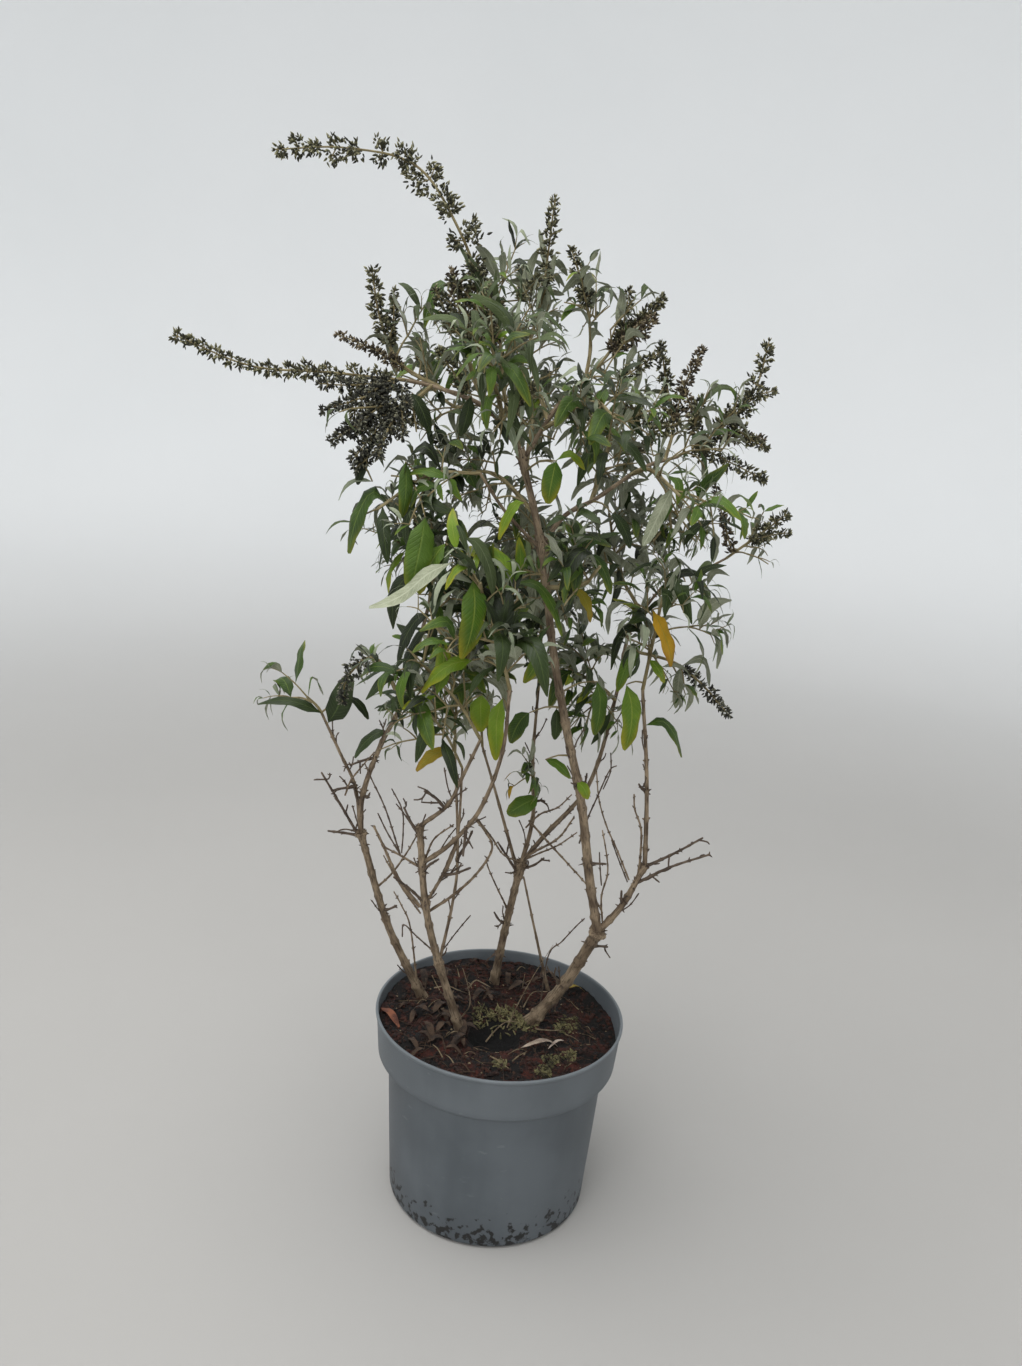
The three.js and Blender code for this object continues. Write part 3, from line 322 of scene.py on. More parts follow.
def smooth_line(points, per_span=24):
    """Points of a uniform Catmull-Rom curve through the given points."""
    p = [2 * points[0] - points[1], *points, 2 * points[-1] - points[-2]]
    t = np.linspace(0, 1, per_span, endpoint=False)[:, None]
    spans = []
    for i in range(1, len(p) - 2):
        t0, t1 = (p[i + 1] - p[i - 1]) / 2, (p[i + 2] - p[i]) / 2
        c2 = -3 * p[i] + 3 * p[i + 1] - 2 * t0 - t1
        c3 = 2 * p[i] - 2 * p[i + 1] + t0 + t1
        spans.append(p[i] + t0 * t + c2 * t**2 + c3 * t**3)
    return np.concatenate([*spans, points[-1][None]])


class Curve:
    """A line through way points, read by the share of its whole length."""

    def __init__(self, points):
        self.dense = smooth_line([np.asarray(p, float) for p in points])
        steps = np.linalg.norm(np.diff(self.dense, axis=0), axis=1)
        self.run = np.concatenate([[0], np.cumsum(steps)])
        self.length = float(self.run[-1])

    def at(self, share):
        run = np.clip(share, 0, 1) * self.length
        return np.stack([np.interp(run, self.run, self.dense[:, i]) for i in range(3)], -1)

    def tangent(self, share):
        reach = 0.5 / self.length
        return unit(self.at(min(share + reach, 1)) - self.at(max(share - reach, 0)))

    def spaced(self, spacing):
        return self.at(np.linspace(0, 1, max(2, math.ceil(self.length / spacing) + 1)))


# ---------------------------------------------------------------- meshes

SHARP_ANGLE = 50
END_CAPS = (0.4, 0.6)  # how far a tube's two ends bulge, against its radius there


class Soup:
    """Points and faces gathered for one mesh, each face with the number of its material."""

    def __init__(self):
        self.points, self.marks = [], []
        self.quads, self.quad_looks = [], []
        self.tris, self.tri_looks = [], []
        self.count = 0
        self.masses = set()

    def add(self, points, marks, quads, quad_looks, tris, tri_looks):
        self.points.append(points)
        self.marks.append(marks)
        self.quads.append(quads + self.count)
        self.quad_looks.append(quad_looks)
        self.tris.append(tris + self.count)
        self.tri_looks.append(tri_looks)
        self.count += len(points)


def loft(soup, rings, marks, looks, start, end):
    """A closed body of rings between two points, the rings turning anticlockwise round their way.

    looks gives the material of each column of faces.
    """
    rows, columns = rings.shape[:2]
    index = np.arange(rows * columns).reshape(rows, columns)
    across = np.roll(index, -1, axis=1)
    quads = np.stack([index[:-1], across[:-1], across[1:], index[1:]], -1)
    looks = np.broadcast_to(np.asarray(looks), (columns,))
    # The faces of a leaf's underside are split along the other diagonal, to lie along its top's.
    second = looks == 1
    quads[:, second] = np.roll(quads[:, second], -1, axis=-1)
    quads = quads.reshape(-1, 4)
    first = np.full(columns, rows * columns)
    last = first + 1
    tris = np.concatenate([
        np.stack([first, across[0], index[0]], -1),
        np.stack([last, index[-1], across[-1]], -1),
    ])
    points = np.concatenate([rings.reshape(-1, 3), [start, end]])
    flat = marks.reshape(-1, 3)
    marks = np.concatenate([flat, [flat[:columns].mean(0), flat[-columns:].mean(0)]])
    soup.add(points, marks, quads, np.tile(looks, rows - 1), tris, np.tile(looks, 2))


def frames_along(places):
    """Directions along a line and square to it, turned as little as its bends allow."""
    along = units(np.gradient(places, axis=0))
    side = cross_frame(along[0])[0]
    sides = []
    for direction in along:
        side = unit(side - direction * float(side @ direction))
        sides.append(side)
    sides = np.array(sides)
    return along, sides, np.cross(along, sides)


def tube(soup, places, radii, sides, look=0, relief=None):
    """A round limb along a row of places, with rounded ends and, if given, a relief of its radius."""
    along, side, up = frames_along(places)
    angle = np.arange(sides) * (2 * math.pi / sides)
    c, s = np.cos(angle)[None, :, None], np.sin(angle)[None, :, None]
    out = c * side[:, None] + s * up[:, None]
    radius = np.repeat(np.asarray(radii, float)[:, None], sides, axis=1)
    steps = np.linalg.norm(np.diff(places, axis=0), axis=1)
    run = np.concatenate([[0], np.cumsum(steps)])
    if relief:
        radius = radius * relief(angle, run)
    rings = places[:, None] + out * radius[..., None]
    marks = np.stack([np.cos(angle)[None] * radius, np.sin(angle)[None] * radius,
                      np.repeat(run[:, None], sides, axis=1)], -1)
    start = places[0] - along[0] * radii[0] * END_CAPS[0]
    end = places[-1] + along[-1] * radii[-1] * END_CAPS[1]
    loft(soup, rings, marks, look, start, end)


def spur(soup, root, reach, radii, sides):
    """A short straight stub in three rings."""
    tube(soup, np.array([root, root + reach * 0.6, root + reach]), radii, sides)


def lathe(profile, sides):
    """Rings of points for a profile of (radius, height) turned about the upright axis."""
    angle = np.arange(sides) * 2 * math.pi / sides
    return np.array([
        np.stack([r * np.cos(angle), r * np.sin(angle), np.full(sides, z)], -1) for r, z in profile
    ])


def make_object(name, soup, materials, sharp_angle=SHARP_ANGLE):
    """A Blender object from a soup, in metres, with its marks as the attribute "place"."""
    points = np.concatenate(soup.points) * MM
    quads = np.concatenate(soup.quads)
    tris = np.concatenate(soup.tris)
    mesh = bpy.data.meshes.new(name)
    mesh.vertices.add(len(points))
    mesh.vertices.foreach_set("co", points.ravel())
    mesh.loops.add(4 * len(quads) + 3 * len(tris))
    mesh.loops.foreach_set("vertex_index", np.concatenate([quads.ravel(), tris.ravel()]))
    mesh.polygons.add(len(quads) + len(tris))
    starts = np.concatenate([4 * np.arange(len(quads)), 4 * len(quads) + 3 * np.arange(len(tris))])
    mesh.polygons.foreach_set("loop_start", starts)
    looks = np.concatenate([*soup.quad_looks, *soup.tri_looks])
    mesh.polygons.foreach_set("material_index", looks.astype(np.int32))
    mesh.update(calc_edges=True)
    place = mesh.attributes.new("place", "FLOAT_VECTOR", "POINT")
    place.data.foreach_set("vector", np.concatenate(soup.marks).astype(np.float32).ravel())
    mesh.shade_smooth()
    mesh.set_sharp_from_angle(angle=math.radians(sharp_angle))
    mesh.validate()
    for made in materials:
        mesh.materials.append(made)
    piece = bpy.data.objects.new(name, mesh)
    bpy.context.scene.collection.objects.link(piece)
    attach(piece, "root")
    return piece


def dress(piece, replaced):
    """Hides the solids that a piece stands for."""
    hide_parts(*replaced)


def build_piece(name, soup, materials, replaced, sharp_angle=SHARP_ANGLE):
    dress(make_object(name, soup, materials, sharp_angle), replaced)


# ---------------------------------------------------------------- materials

VEINS = dict(rows=13, slant=2.2, edge=0.55)


def linear(code):
    """A colour code such as 4d555c as linear red, green, blue and 1."""
    parts = [int(code[i:i + 2], 16) / 255 for i in (0, 2, 4)]
    return (*[p / 12.92 if p <= 0.04045 else ((p + 0.055) / 1.055) ** 2.4 for p in parts], 1)


class Look:
    """A material's nodes, made and joined in short calls."""

    def __init__(self, name, roughness, **sockets):
        self.material = bpy.data.materials.new(name)
        self.material.use_nodes = True
        self.tree = self.material.node_tree
        self.shader = self.tree.nodes["Principled BSDF"]
        self.shader.inputs["Roughness"].default_value = roughness
        for socket, value in sockets.items():
            self.shader.inputs[socket.replace("_", " ")].default_value = value

    def node(self, kind, inputs=None, **settings):
        made = self.tree.nodes.new("ShaderNode" + kind)
        for setting, value in settings.items():
            setattr(made, setting, value)
        for socket, value in (inputs or {}).items():
            if isinstance(value, bpy.types.NodeSocket):
                self.tree.links.new(value, made.inputs[socket])
            else:
                made.inputs[socket].default_value = value
        return made

    def where(self):
        return self.node("TexCoord").outputs["Object"]

    def place(self):
        return self.node("Attribute", attribute_name="place").outputs["Vector"]

    def parts(self, vector):
        return self.node("SeparateXYZ", {0: vector}).outputs

    def math(self, operation, a, b=0.0):
        return self.node("Math", {0: a, 1: b}, operation=operation).outputs[0]

    def times(self, a, b):
        return self.math("MULTIPLY", a, b)

    def total(self, a, a_share, b, b_share):
        """Two values added, each times its share."""
        return self.math("ADD", self.times(a, a_share), self.times(b, b_share))

    def grain(self, vector, scale, detail=3.0, stretch=None):
        """Soft noise from 0 to 1, the scale in lumps a metre."""
        if stretch:
            vector = self.node("Mapping", {"Vector": vector, "Scale": stretch}).outputs[0]
        sockets = {"Vector": vector, "Scale": scale, "Detail": detail, "Roughness": 0.5}
        return self.node("TexNoise", sockets).outputs["Fac"]

    def spread(self, value, low, high, out_low=0.0, out_high=1.0):
        """A value's range from low to high, stretched smoothly to the new one."""
        sockets = {"Value": value, "From Min": low, "From Max": high,
                   "To Min": out_low, "To Max": out_high}
        return self.node("MapRange", sockets, interpolation_type="SMOOTHSTEP").outputs[0]

    def veins(self, along, away):
        """Side veins that slant forward from the midrib: 1 on a vein and 0 between them."""
        rank = self.math("SUBTRACT", self.times(along, VEINS["rows"]), self.times(away, VEINS["slant"]))
        return self.spread(self.math("SINE", self.times(rank, 2 * math.pi)), VEINS["edge"], 1.0)

    def blend(self, share, a, b):
        """Two colours mixed; each is a colour code or a socket."""
        made = self.node("Mix", {"Factor": share}, data_type="RGBA")
        for socket, colour in ((made.inputs[6], a), (made.inputs[7], b)):
            if isinstance(colour, str):
                socket.default_value = linear(colour)
            else:
                self.tree.links.new(colour, socket)
        return made.outputs[2]

    def finish(self, colour, height, depth=0.3, strength=1.0, roughness=None):
        """Sets the colour, the bump, its depth in millimetres, and a varying roughness."""
        self.tree.links.new(colour, self.shader.inputs["Base Color"])
        bump = self.node("Bump", {"Height": height, "Distance": depth * MM, "Strength": strength})
        self.tree.links.new(bump.outputs[0], self.shader.inputs["Normal"])
        if roughness is not None:
            self.tree.links.new(roughness, self.shader.inputs["Roughness"])
        return self.material


def leaf_look(name, deep, light, rib, edge, roughness=0.48, vein=0.1, sheen=0.0, tinted=0.95):
    """A leaf's upper side: two greens in patches, a pale midrib, sunken veins, a tinted edge and tip."""
    look = Look(name, roughness, Sheen_Weight=sheen, Specular_IOR_Level=0.35)
    across, along, chance = look.parts(look.place())
    away = look.math("ABSOLUTE", across)
    patches = look.grain(look.where(), 55, 4)
    share = look.total(patches, 0.9, chance, 0.5)
    colour = look.blend(look.spread(share, 0.35, 1.05), deep, light)
    veins = look.veins(along, away)
    colour = look.blend(look.times(veins, vein), colour, rib)
    midrib = look.spread(away, 0.03, 0.09, 1, 0)
    colour = look.blend(look.times(midrib, 0.5), colour, rib)
    edges = look.spread(look.math("ADD", look.times(away, 0.5), along), tinted, tinted + 0.6)
    colour = look.blend(look.times(edges, patches), colour, edge)
    fine = look.grain(look.where(), 900, 2)
    height = look.math("SUBTRACT", look.times(fine, 0.4), veins)
    return look.finish(colour, look.math("SUBTRACT", height, midrib), 0.3, 0.7)


def underside_look(name, deep, light, rib):
    """A leaf's felted underside: matt and pale, with raised veins."""
    look = Look(name, 0.92, Sheen_Weight=0.25, Sheen_Roughness=0.6)
    across, along, _ = look.parts(look.place())
    away = look.math("ABSOLUTE", across)
    felt = look.grain(look.where(), 1600, 3)
    patches = look.grain(look.where(), 80, 3)
    share = look.total(felt, 0.35, patches, 0.75)
    colour = look.blend(look.spread(share, 0.35, 0.8), deep, light)
    midrib = look.spread(away, 0.05, 0.14, 1, 0)
    raised = look.math("MAXIMUM", midrib, look.times(look.veins(along, away), 0.5))
    colour = look.blend(look.times(raised, 0.5), colour, rib)
    return look.finish(colour, look.math("ADD", look.times(felt, 0.5), raised), 0.3, 0.7)


def bark_look(name, deep, middle, light, roughness=0.85):
    """Bark: long streaks of three browns, dark flecks and fine cracks."""
    look = Look(name, roughness)
    place = look.place()
    streaks = look.grain(place, 0.9, 4, (1, 1, 0.12))
    patches = look.grain(place, 0.09, 3, (1, 1, 0.5))
    flecks = look.grain(place, 1.6, 3, (1, 1, 0.45))
    colour = look.blend(look.spread(patches, 0.35, 0.65), middle, light)
    colour = look.blend(look.spread(streaks, 0.48, 0.68, 0, 0.7), colour, deep)
    colour = look.blend(look.spread(flecks, 0.6, 0.72, 0, 0.6), colour, deep)
    return look.finish(colour, look.math("SUBTRACT", 1.0, look.times(streaks, flecks)), 0.5, 0.9)


def pod_look(name, deep, light, tip):
    """Spent seed pods: dull brown-green with paler split tips."""
    look = Look(name, 0.8)
    _, along, chance = look.parts(look.place())
    share = look.total(look.grain(look.where(), 120, 3), 0.7, chance, 0.6)
    colour = look.blend(look.spread(share, 0.4, 0.95), deep, light)
    tips = look.times(look.spread(along, 0.5, 0.8), look.spread(chance, 0.5, 0.7))
    colour = look.blend(look.times(tips, 0.75), colour, tip)
    return look.finish(colour, look.grain(look.where(), 1500, 2), 0.25, 0.6)


def speck_look(name, deep, light, roughness=0.9):
    """Small matt things: moss, chips, dead leaves and rootlets."""
    look = Look(name, roughness)
    where = look.where()
    fine = look.grain(where, 1500, 3)
    share = look.total(look.grain(where, 130, 4), 0.6, fine, 0.4)
    return look.finish(look.blend(look.spread(share, 0.38, 0.62), deep, light), fine, 0.3, 0.8)


def pot_look():
    """Matt moulded plastic: fine texture, flow marks, scuffs, painted light on the upper band, a painted
    highlight on the lip, and soil on its foot.
    """
    look = Look("pot_plastic", 0.5, Specular_IOR_Level=0.35)
    where = look.where()
    z = look.parts(where)["Z"]
    share = look.total(look.grain(where, 14, 4), 0.6, look.grain(where, 30, 3, (1, 1, 0.12)), 0.4)
    colour = look.blend(look.spread(share, 0.35, 0.65), "51575c", "62686d")
    # Painted light: the upper band is painted lighter than the body, as if it catches more light.
    band = look.spread(z, BAND_FOOT * MM, (BAND_FOOT + 6) * MM)
    colour = look.blend(look.times(band, 0.12), colour, "8b9194")
    # Painted highlight: a paler line along the lip.
    lip = look.spread(z, (POT["height"] - POT["lip_drop"]) * MM, (POT["height"] - 1) * MM)
    colour = look.blend(look.times(lip, 0.14), colour, "a0a6a8")
    dust = look.times(look.grain(where, 150, 6), look.spread(z, 0.0, 0.06, 1.25, 0.72))
    dust = look.spread(dust, 0.6, 0.7)
    colour = look.blend(look.times(dust, 0.9), colour, "1a1714")
    scuffs = look.spread(look.grain(where, 60, 5, (1, 1, 3)), 0.66, 0.74)
    colour = look.blend(look.times(scuffs, 0.18), colour, "8d9395")
    height = look.total(look.grain(where, 2600, 2), 0.5, dust, 0.8)
    return look.finish(colour, height, 0.2, 0.6, look.spread(share, 0.3, 0.7, 0.46, 0.6))


# The black shade in the soil's hollow: its centre behind the hollow's, where it starts and ends
# to fade, how dark it is, and the heights between which the bottom turns black.
HOLLOW_SHADE = dict(back=6, full=30, faded=46, share=0.85, black=149, paler=157)


def soil_look():
    """Damp peat: dark reddish crumbs, paler fibres, and painted black shade in the hollow."""
    look = Look("soil", 0.93)
    deep = "090504"
    where = look.where()
    patches = look.grain(where, 60, 4)
    crumbs = look.grain(where, 420, 4)
    fibres = look.grain(where, 700, 3, (1, 0.25, 1))
    colour = look.blend(look.spread(patches, 0.46, 0.66), deep, "43190d")
    colour = look.blend(look.spread(crumbs, 0.45, 0.7, 0, 0.8), colour, deep)
    colour = look.blend(look.spread(fibres, 0.62, 0.72, 0, 0.7), colour, "573b29")
    x, y, z = look.parts(where)
    shade = HOLLOW_SHADE
    dx = look.math("SUBTRACT", x, HOLLOW["x"] * MM)
    dy = look.math("SUBTRACT", y, (HOLLOW["y"] + shade["back"]) * MM)
    away = look.math("SQRT", look.total(dx, dx, dy, dy))
    away = look.math("ADD", away, look.times(patches, 0.02))
    # Painted shade: the hollow is darkened towards black, and its bottom turns black.
    hollow = look.spread(away, shade["full"] * MM, shade["faded"] * MM, shade["share"], 0)
    colour = look.blend(hollow, colour, "050302")
    bottom = look.spread(z, shade["black"] * MM, shade["paler"] * MM, 1, 0)
    colour = look.blend(bottom, colour, "020101")
    return look.finish(colour, look.math("ADD", crumbs, look.times(fibres, 0.5)), 1.2, 0.9)


def floor_look():
    """A pale matt studio floor, with painted shade: greyer round the pot than far out."""
    look = Look("floor_pale", 0.9)
    where = look.where()
    x, y, _ = look.parts(where)
    clouds = look.grain(where, 1.5, 3)
    # Painted shade: the floor is greyer near the pot than far out.
    near = look.blend(clouds, "a9a7a4", "b1afac")
    far = look.blend(clouds, "eff1f2", "f6f7f8")
    colour = look.blend(look.spread(look.total(x, x, y, y), 0.2, 11), near, far)
    return look.finish(colour, look.grain(where, 300, 2), 0.2, 0.2)


LEAF_TOPS = {
    "dark": leaf_look("leaf_dark", "121a06", "293910", "4c5c2b", "454f1b"),
    "green": leaf_look("leaf_green", "263c0c", "4a6616", "6f8434", "84841f", tinted=0.85),
    "fresh": leaf_look("leaf_fresh", "3c5c0c", "6f8a18", "8b983a", "a3921c", tinted=0.7),
    "yellow": leaf_look("leaf_yellow", "857a1a", "c2941a", "8f8c2f", "7a4b17", tinted=0.8),
    "sage": leaf_look("leaf_sage", "2d381c", "525f38", "6f7a58", "5e6a44", 0.7),
    "silver": leaf_look("leaf_silver", "616b52", "9ca389", "a8ac96", "8c927a", 0.85, 0.1, 0.1),
}
UNDERSIDE = underside_look("leaf_underside", "757b60", "a8ac92", "babda3")
BARK = bark_look("bark", "271d16", "5f4f3e", "95836b")
DEAD_BARK = bark_look("bark_dead", "211b17", "473a30", "6c5d4e")
SHOOT_BARK = bark_look("bark_shoot", "433a28", "756845", "9c906c", 0.9)
POD_LOOKS = {
    "olive": pod_look("pod_olive", "28281a", "605e40", "aca784"),
    "brown": pod_look("pod_brown", "2e271c", "625540", "a39678"),
    "dark": pod_look("pod_dark", "20201a", "4e4e40", "908e78"),
}

# ---------------------------------------------------------------- limbs

BARK_STEP = 1.5
GIRTH = 0.84  # the bark's mean radius against the limb's, as its nodes and ridges stand out from it
LIMB_SIDES = [(4, 18), (2, 14), (0, 10)]  # a radius, and the sides of a limb thicker than that
NODE = dict(spacing=25, first=0.6, swell=0.2, width=2.4)
KNOT = dict(swell=0.4, width=5, stubs=5, spread=9, size=1.7)
RIDGE = dict(turns=2.4, length=22, height=0.08)
LUMP = dict(turns=2.0, length=3.2, height=0.06, on_swell=0.7)
STUB = dict(twist=0.5, lean=(0.3, 1.0), root=0.6, base=0.4, length=(0.6, 1.7), radius=(0.7, 1.1),
            thickest=0.55)
DEAD = dict(radius=1.35, tip=0.55, node_spacing=9, first=0.7, swell=0.35, swell_width=1.3,
            lean=(0.5, 1.3), stub=(1.2, 3.4), fork=(9, 20), fork_chance=0.28, fork_radius=0.75,
            wander=2.2)
RUFF = dict(count=9, length=(0.8, 4.2), radius=1.0, girth=(0.5, 1.3), lean=(-0.3, 1.4), spread=7,
            turn=2.4)
FINE_DEAD = dict(spacing=26, highest=430, length=(5, 28), upward=0.9, radius=0.55)
BROWN_TWIG = 0.8  # a thin twig at least this thick has live bark
# Thin twigs between the stems, without leaves: their radius and the points they pass.
THIN_TWIGS = [
    (1.7, [(-75, -30, 281), (-95, -22, 301), (-109, -14, 324), (-120, -6, 340)]),
    (0.8, [(-74, -28, 274), (-90, -22, 291), (-102, -16, 306), (-110, -10, 316)]),
    (0.75, [(-94, -26, 324), (-109, -20, 361), (-123, -14, 385), (-130, -8, 396)]),
    (0.7, [(-95, -26, 326), (-107, -21, 342), (-116, -16, 356)]),
    (0.6, [(-93, -28, 327), (-93, -25, 344), (-95, -23, 363), (-105, -20, 380)]),
    (0.6, [(-80, -40, 350), (-92, -38, 366), (-99, -36, 373)]),
    (1.1, [(-78, -34, 319), (-94, -26, 324), (-109, -20, 328)]),
    (1.0, [(-117, 14, 275), (-103, -1, 296), (-90, -15, 322), (-80, -30, 347)]),
    (0.7, [(-133, 0, 331), (-145, -3, 334), (-154, -6, 331)]),
    (0.8, [(-146, -4, 365), (-140, -8, 382), (-122, -12, 408)]),
    (0.95, [(-74, -42, 322), (-71, -42, 333), (-65, -49, 351), (-50, -56, 367)]),
    (1.2, [(-68, -32, 289), (-57, -37, 316), (-51, -43, 337), (-46, -48, 351)]),
    (1.3, [(-66, -34, 280), (-47, -36, 297), (-29, -39, 319), (-18, -43, 344), (-26, -46, 361),
           (-33, -50, 370)]),
    (0.95, [(-32, -50, 371), (-19, -23, 345), (-8, 3, 320), (7, 30, 303)]),
    (0.85, [(2, 46, 246), (-11, 44, 270), (-21, 42, 291), (-23, 40, 301)]),
    (0.55, [(-54, -10, 232), (-43, -15, 253), (-32, -20, 272)]),
    (0.9, [(-75, -8, 200), (-83, -15, 254), (-91, -19, 275), (-98, -24, 290)]),
    (0.7, [(-56, -28, 236), (-76, -27, 252), (-88, -23, 260), (-89, -20, 247)]),
    (0.9, [(10, 40, 332), (22, 40, 346), (36, 25, 359), (46, 10, 377)]),
    (0.75, [(12, 32, 308), (21, 30, 320), (36, 17, 345), (47, 4, 365)]),
    (1.2, [(9, 30, 303), (18, 30, 313), (38, 15, 334), (49, 0, 360)]),
    (0.85, [(12, 30, 306), (24, 30, 313), (39, 15, 328), (53, 0, 347)]),
    (1.0, [(12, 30, 343), (31, 18, 328), (51, 5, 313), (67, -8, 301), (80, -20, 284)]),
    (0.75, [(54, -22, 346), (60, -10, 364), (67, -5, 383), (75, -1, 405), (81, 4, 408)]),
    (0.55, [(71, -4, 389), (76, 0, 404), (75, 4, 419)]),
    (0.8, [(99, -20, 316), (87, -10, 339), (78, 0, 354), (70, 10, 374), (66, 20, 397)]),
    (0.6, [(98, -20, 314), (89, -10, 331), (83, 0, 343)]),
    (0.8, [(80, -24, 278), (77, -24, 301), (80, -24, 321), (78, -24, 337), (72, -24, 360)]),
    (0.6, [(76, -24, 311), (73, -26, 328), (71, -28, 342)]),
    (1.05, [(106, -21, 322), (106, -22, 339), (104, -22, 363), (97, -22, 380), (95, -22, 393)]),
    (0.7, [(36, 12, 160), (39, 10, 223), (50, 7, 241), (61, 3, 259), (67, 0, 268)]),
]


def soil_height(x, y):
    lumps = sum(np.sin(a * x + b * y + start) for a, b, start in SOIL_WAVES)
    return SOIL["level"] - SOIL["fall_to_right"] * x + SOIL["rise_to_back"] * y + SOIL["bump"] * lumps


class Limb:
    """A stem or bough: its line, its radius at each share, and points for testing clearance."""

    def __init__(self, spec, limbs):
        self.spec = spec
        if "foot" in spec:
            x, y = spec["foot"]
            start = vec(x, y, soil_height(x, y) - FOOT_SINK)
        else:
            start = limbs[spec["parent"]].curve.at(spec["at"])
        self.curve = Curve([start, *spec["way"]])
        self.samples = self.curve.spaced(LEAF["sample"])
        self.knots = []

    def radius(self, share):
        foot, tip = self.spec["radii"]
        flare = 0
        if "foot" in self.spec:
            flare = FLARE["gain"] * np.exp(-share * self.curve.length / FLARE["reach"])
        return mix(foot, tip, share) * (1 + flare)


def grow_limbs():
    limbs = {}
    for spec in LIMBS:
        limbs[spec["name"]] = Limb(spec, limbs)
        if "parent" in spec:
            limbs[spec["parent"]].knots.append(spec["at"])
    return limbs


def node_runs(length, spacing, first):
    """How far along a twig its nodes are."""
    return np.arange(first, length / spacing) * spacing


def swollen(radii, shares, nodes, length, swell, width):
    """Radii along a twig, larger at its nodes."""
    for node in nodes:
        radii = radii * (1 + swell * np.exp(-(((shares - node) * length / width) ** 2)))
    return radii


def bark_relief(limb, seed):
    """Swellings at nodes and forks, long ridges, and small lumps, as a factor of the radius."""
    length = limb.curve.length
    nodes = [(run, NODE) for run in node_runs(length, NODE["spacing"], NODE["first"])]
    knots = [(knot * length, KNOT) for knot in limb.knots]

    def relief(angle, run):
        swell = np.zeros_like(run)
        for centre, shape in nodes + knots:
            swell += shape["swell"] * np.exp(-(((run - centre) / shape["width"]) ** 2))
        rows = []
        for along, grown in zip(run, swell):
            row = []
            for turn in angle:
                c, s = math.cos(turn), math.sin(turn)
                at_ridge = Vector((c * RIDGE["turns"] + seed, s * RIDGE["turns"], along / RIDGE["length"]))
                at_lump = Vector((c * LUMP["turns"] - seed, s * LUMP["turns"], along / LUMP["length"]))
                ridge, lump = relief_noise.noise(at_ridge), relief_noise.noise(at_lump)
                swelling = grown * (1 + LUMP["on_swell"] * lump)
                row.append(1 + swelling + RIDGE["height"] * ridge + LUMP["height"] * lump)
            rows.append(row)
        return np.array(rows)

    return relief


def build_limb(limb, seed):
    """One stem or bough in bark relief, with the bud stubs at its nodes."""
    soup = Soup()
    curve = limb.curve
    shares = np.linspace(0, 1, max(8, round(curve.length / BARK_STEP)))
    sides = next(count for thinner, count in LIMB_SIDES if limb.spec["radii"][0] > thinner)
    tube(soup, curve.at(shares), GIRTH * limb.radius(shares), sides, 0, bark_relief(limb, seed))
    nodes = node_runs(curve.length, NODE["spacing"], NODE["first"]) / curve.length
    for i, share in enumerate(nodes):
        for face in (0, 1):
            stub(soup, limb, float(share), axil(i, face), [seed, i, face])
    for i, knot in enumerate(limb.knots):
        for j in range(KNOT["stubs"]):
            stray = (noise(seed, i, j, 3) - 0.5) * KNOT["spread"] / curve.length
            share = min(0.995, max(0.01, knot + stray))
            stub(soup, limb, share, j * 1.3 + i, [seed, i, j, 5], KNOT["size"])
    name = limb.spec["name"]
    build_piece("bark_" + name, soup, [BARK], [name])


def stub(soup, limb, share, angle, keys, size=1.0):
    """A dry bud or the base of a lost twig."""
    along = limb.curve.tangent(share)
    out = sprout(along, angle + STUB["twist"] * noise(*keys, 1), between(STUB["lean"], *keys, 2))
    radius = float(limb.radius(share))
    root = limb.curve.at(share) + out * radius * STUB["root"]
    length = radius * STUB["base"] + size * between(STUB["length"], *keys, 4)
    thick = min(STUB["thickest"] * radius, between(STUB["radius"], *keys, 6) * math.sqrt(size))
    spur(soup, root, out * length, [thick, thick * 0.9, thick * 0.45], 6)


def bent(root, tip, keys):
    """A slightly crooked line between two points."""
    middle = mix(root, tip, 0.5)
    middle = middle + vec(*[(noise(*keys, i) - 0.5) * 2 * DEAD["wander"] for i in (1, 2, 3)])
    return Curve([root, middle, tip])


def dead_twig(soup, curve, keys, radius=DEAD["radius"], forks=True, look=0):
    """A leafless twig, with its pairs of dry buds and now and then a fork."""
    shares = np.linspace(0, 1, max(4, round(curve.length / 2.5)))
    nodes = node_runs(curve.length, DEAD["node_spacing"], DEAD["first"]) / curve.length
    radii = mix(radius, max(DEAD["tip"], 0.6 * radius), shares)
    radii = swollen(radii, shares, nodes, curve.length, DEAD["swell"], DEAD["swell_width"])
    tube(soup, curve.at(shares), radii, 7, look)
    for i, node in enumerate(nodes):
        for face in (0, 1):
            along = curve.tangent(float(node))
            out = sprout(along, axil(i, face) + keys[0], between(DEAD["lean"], *keys, i, face, 5))
            start = curve.at(float(node))
            if forks and noise(*keys, i, face, 6) > 1 - DEAD["fork_chance"]:
                length = between(DEAD["fork"], *keys, i, face, 7) * (1 - 0.4 * float(node))
                own = [*keys, i, face]
                dead_twig(soup, bent(start, start + out * length, own), own, DEAD["fork_radius"], False)
            else:
                length = between(DEAD["stub"], *keys, i, face, 8) * min(1, 0.4 + 0.6 * radius)
                spur(soup, start, out * length, vec(0.8, 0.6, 0.25) * min(1, 0.3 + 0.6 * radius), 5)


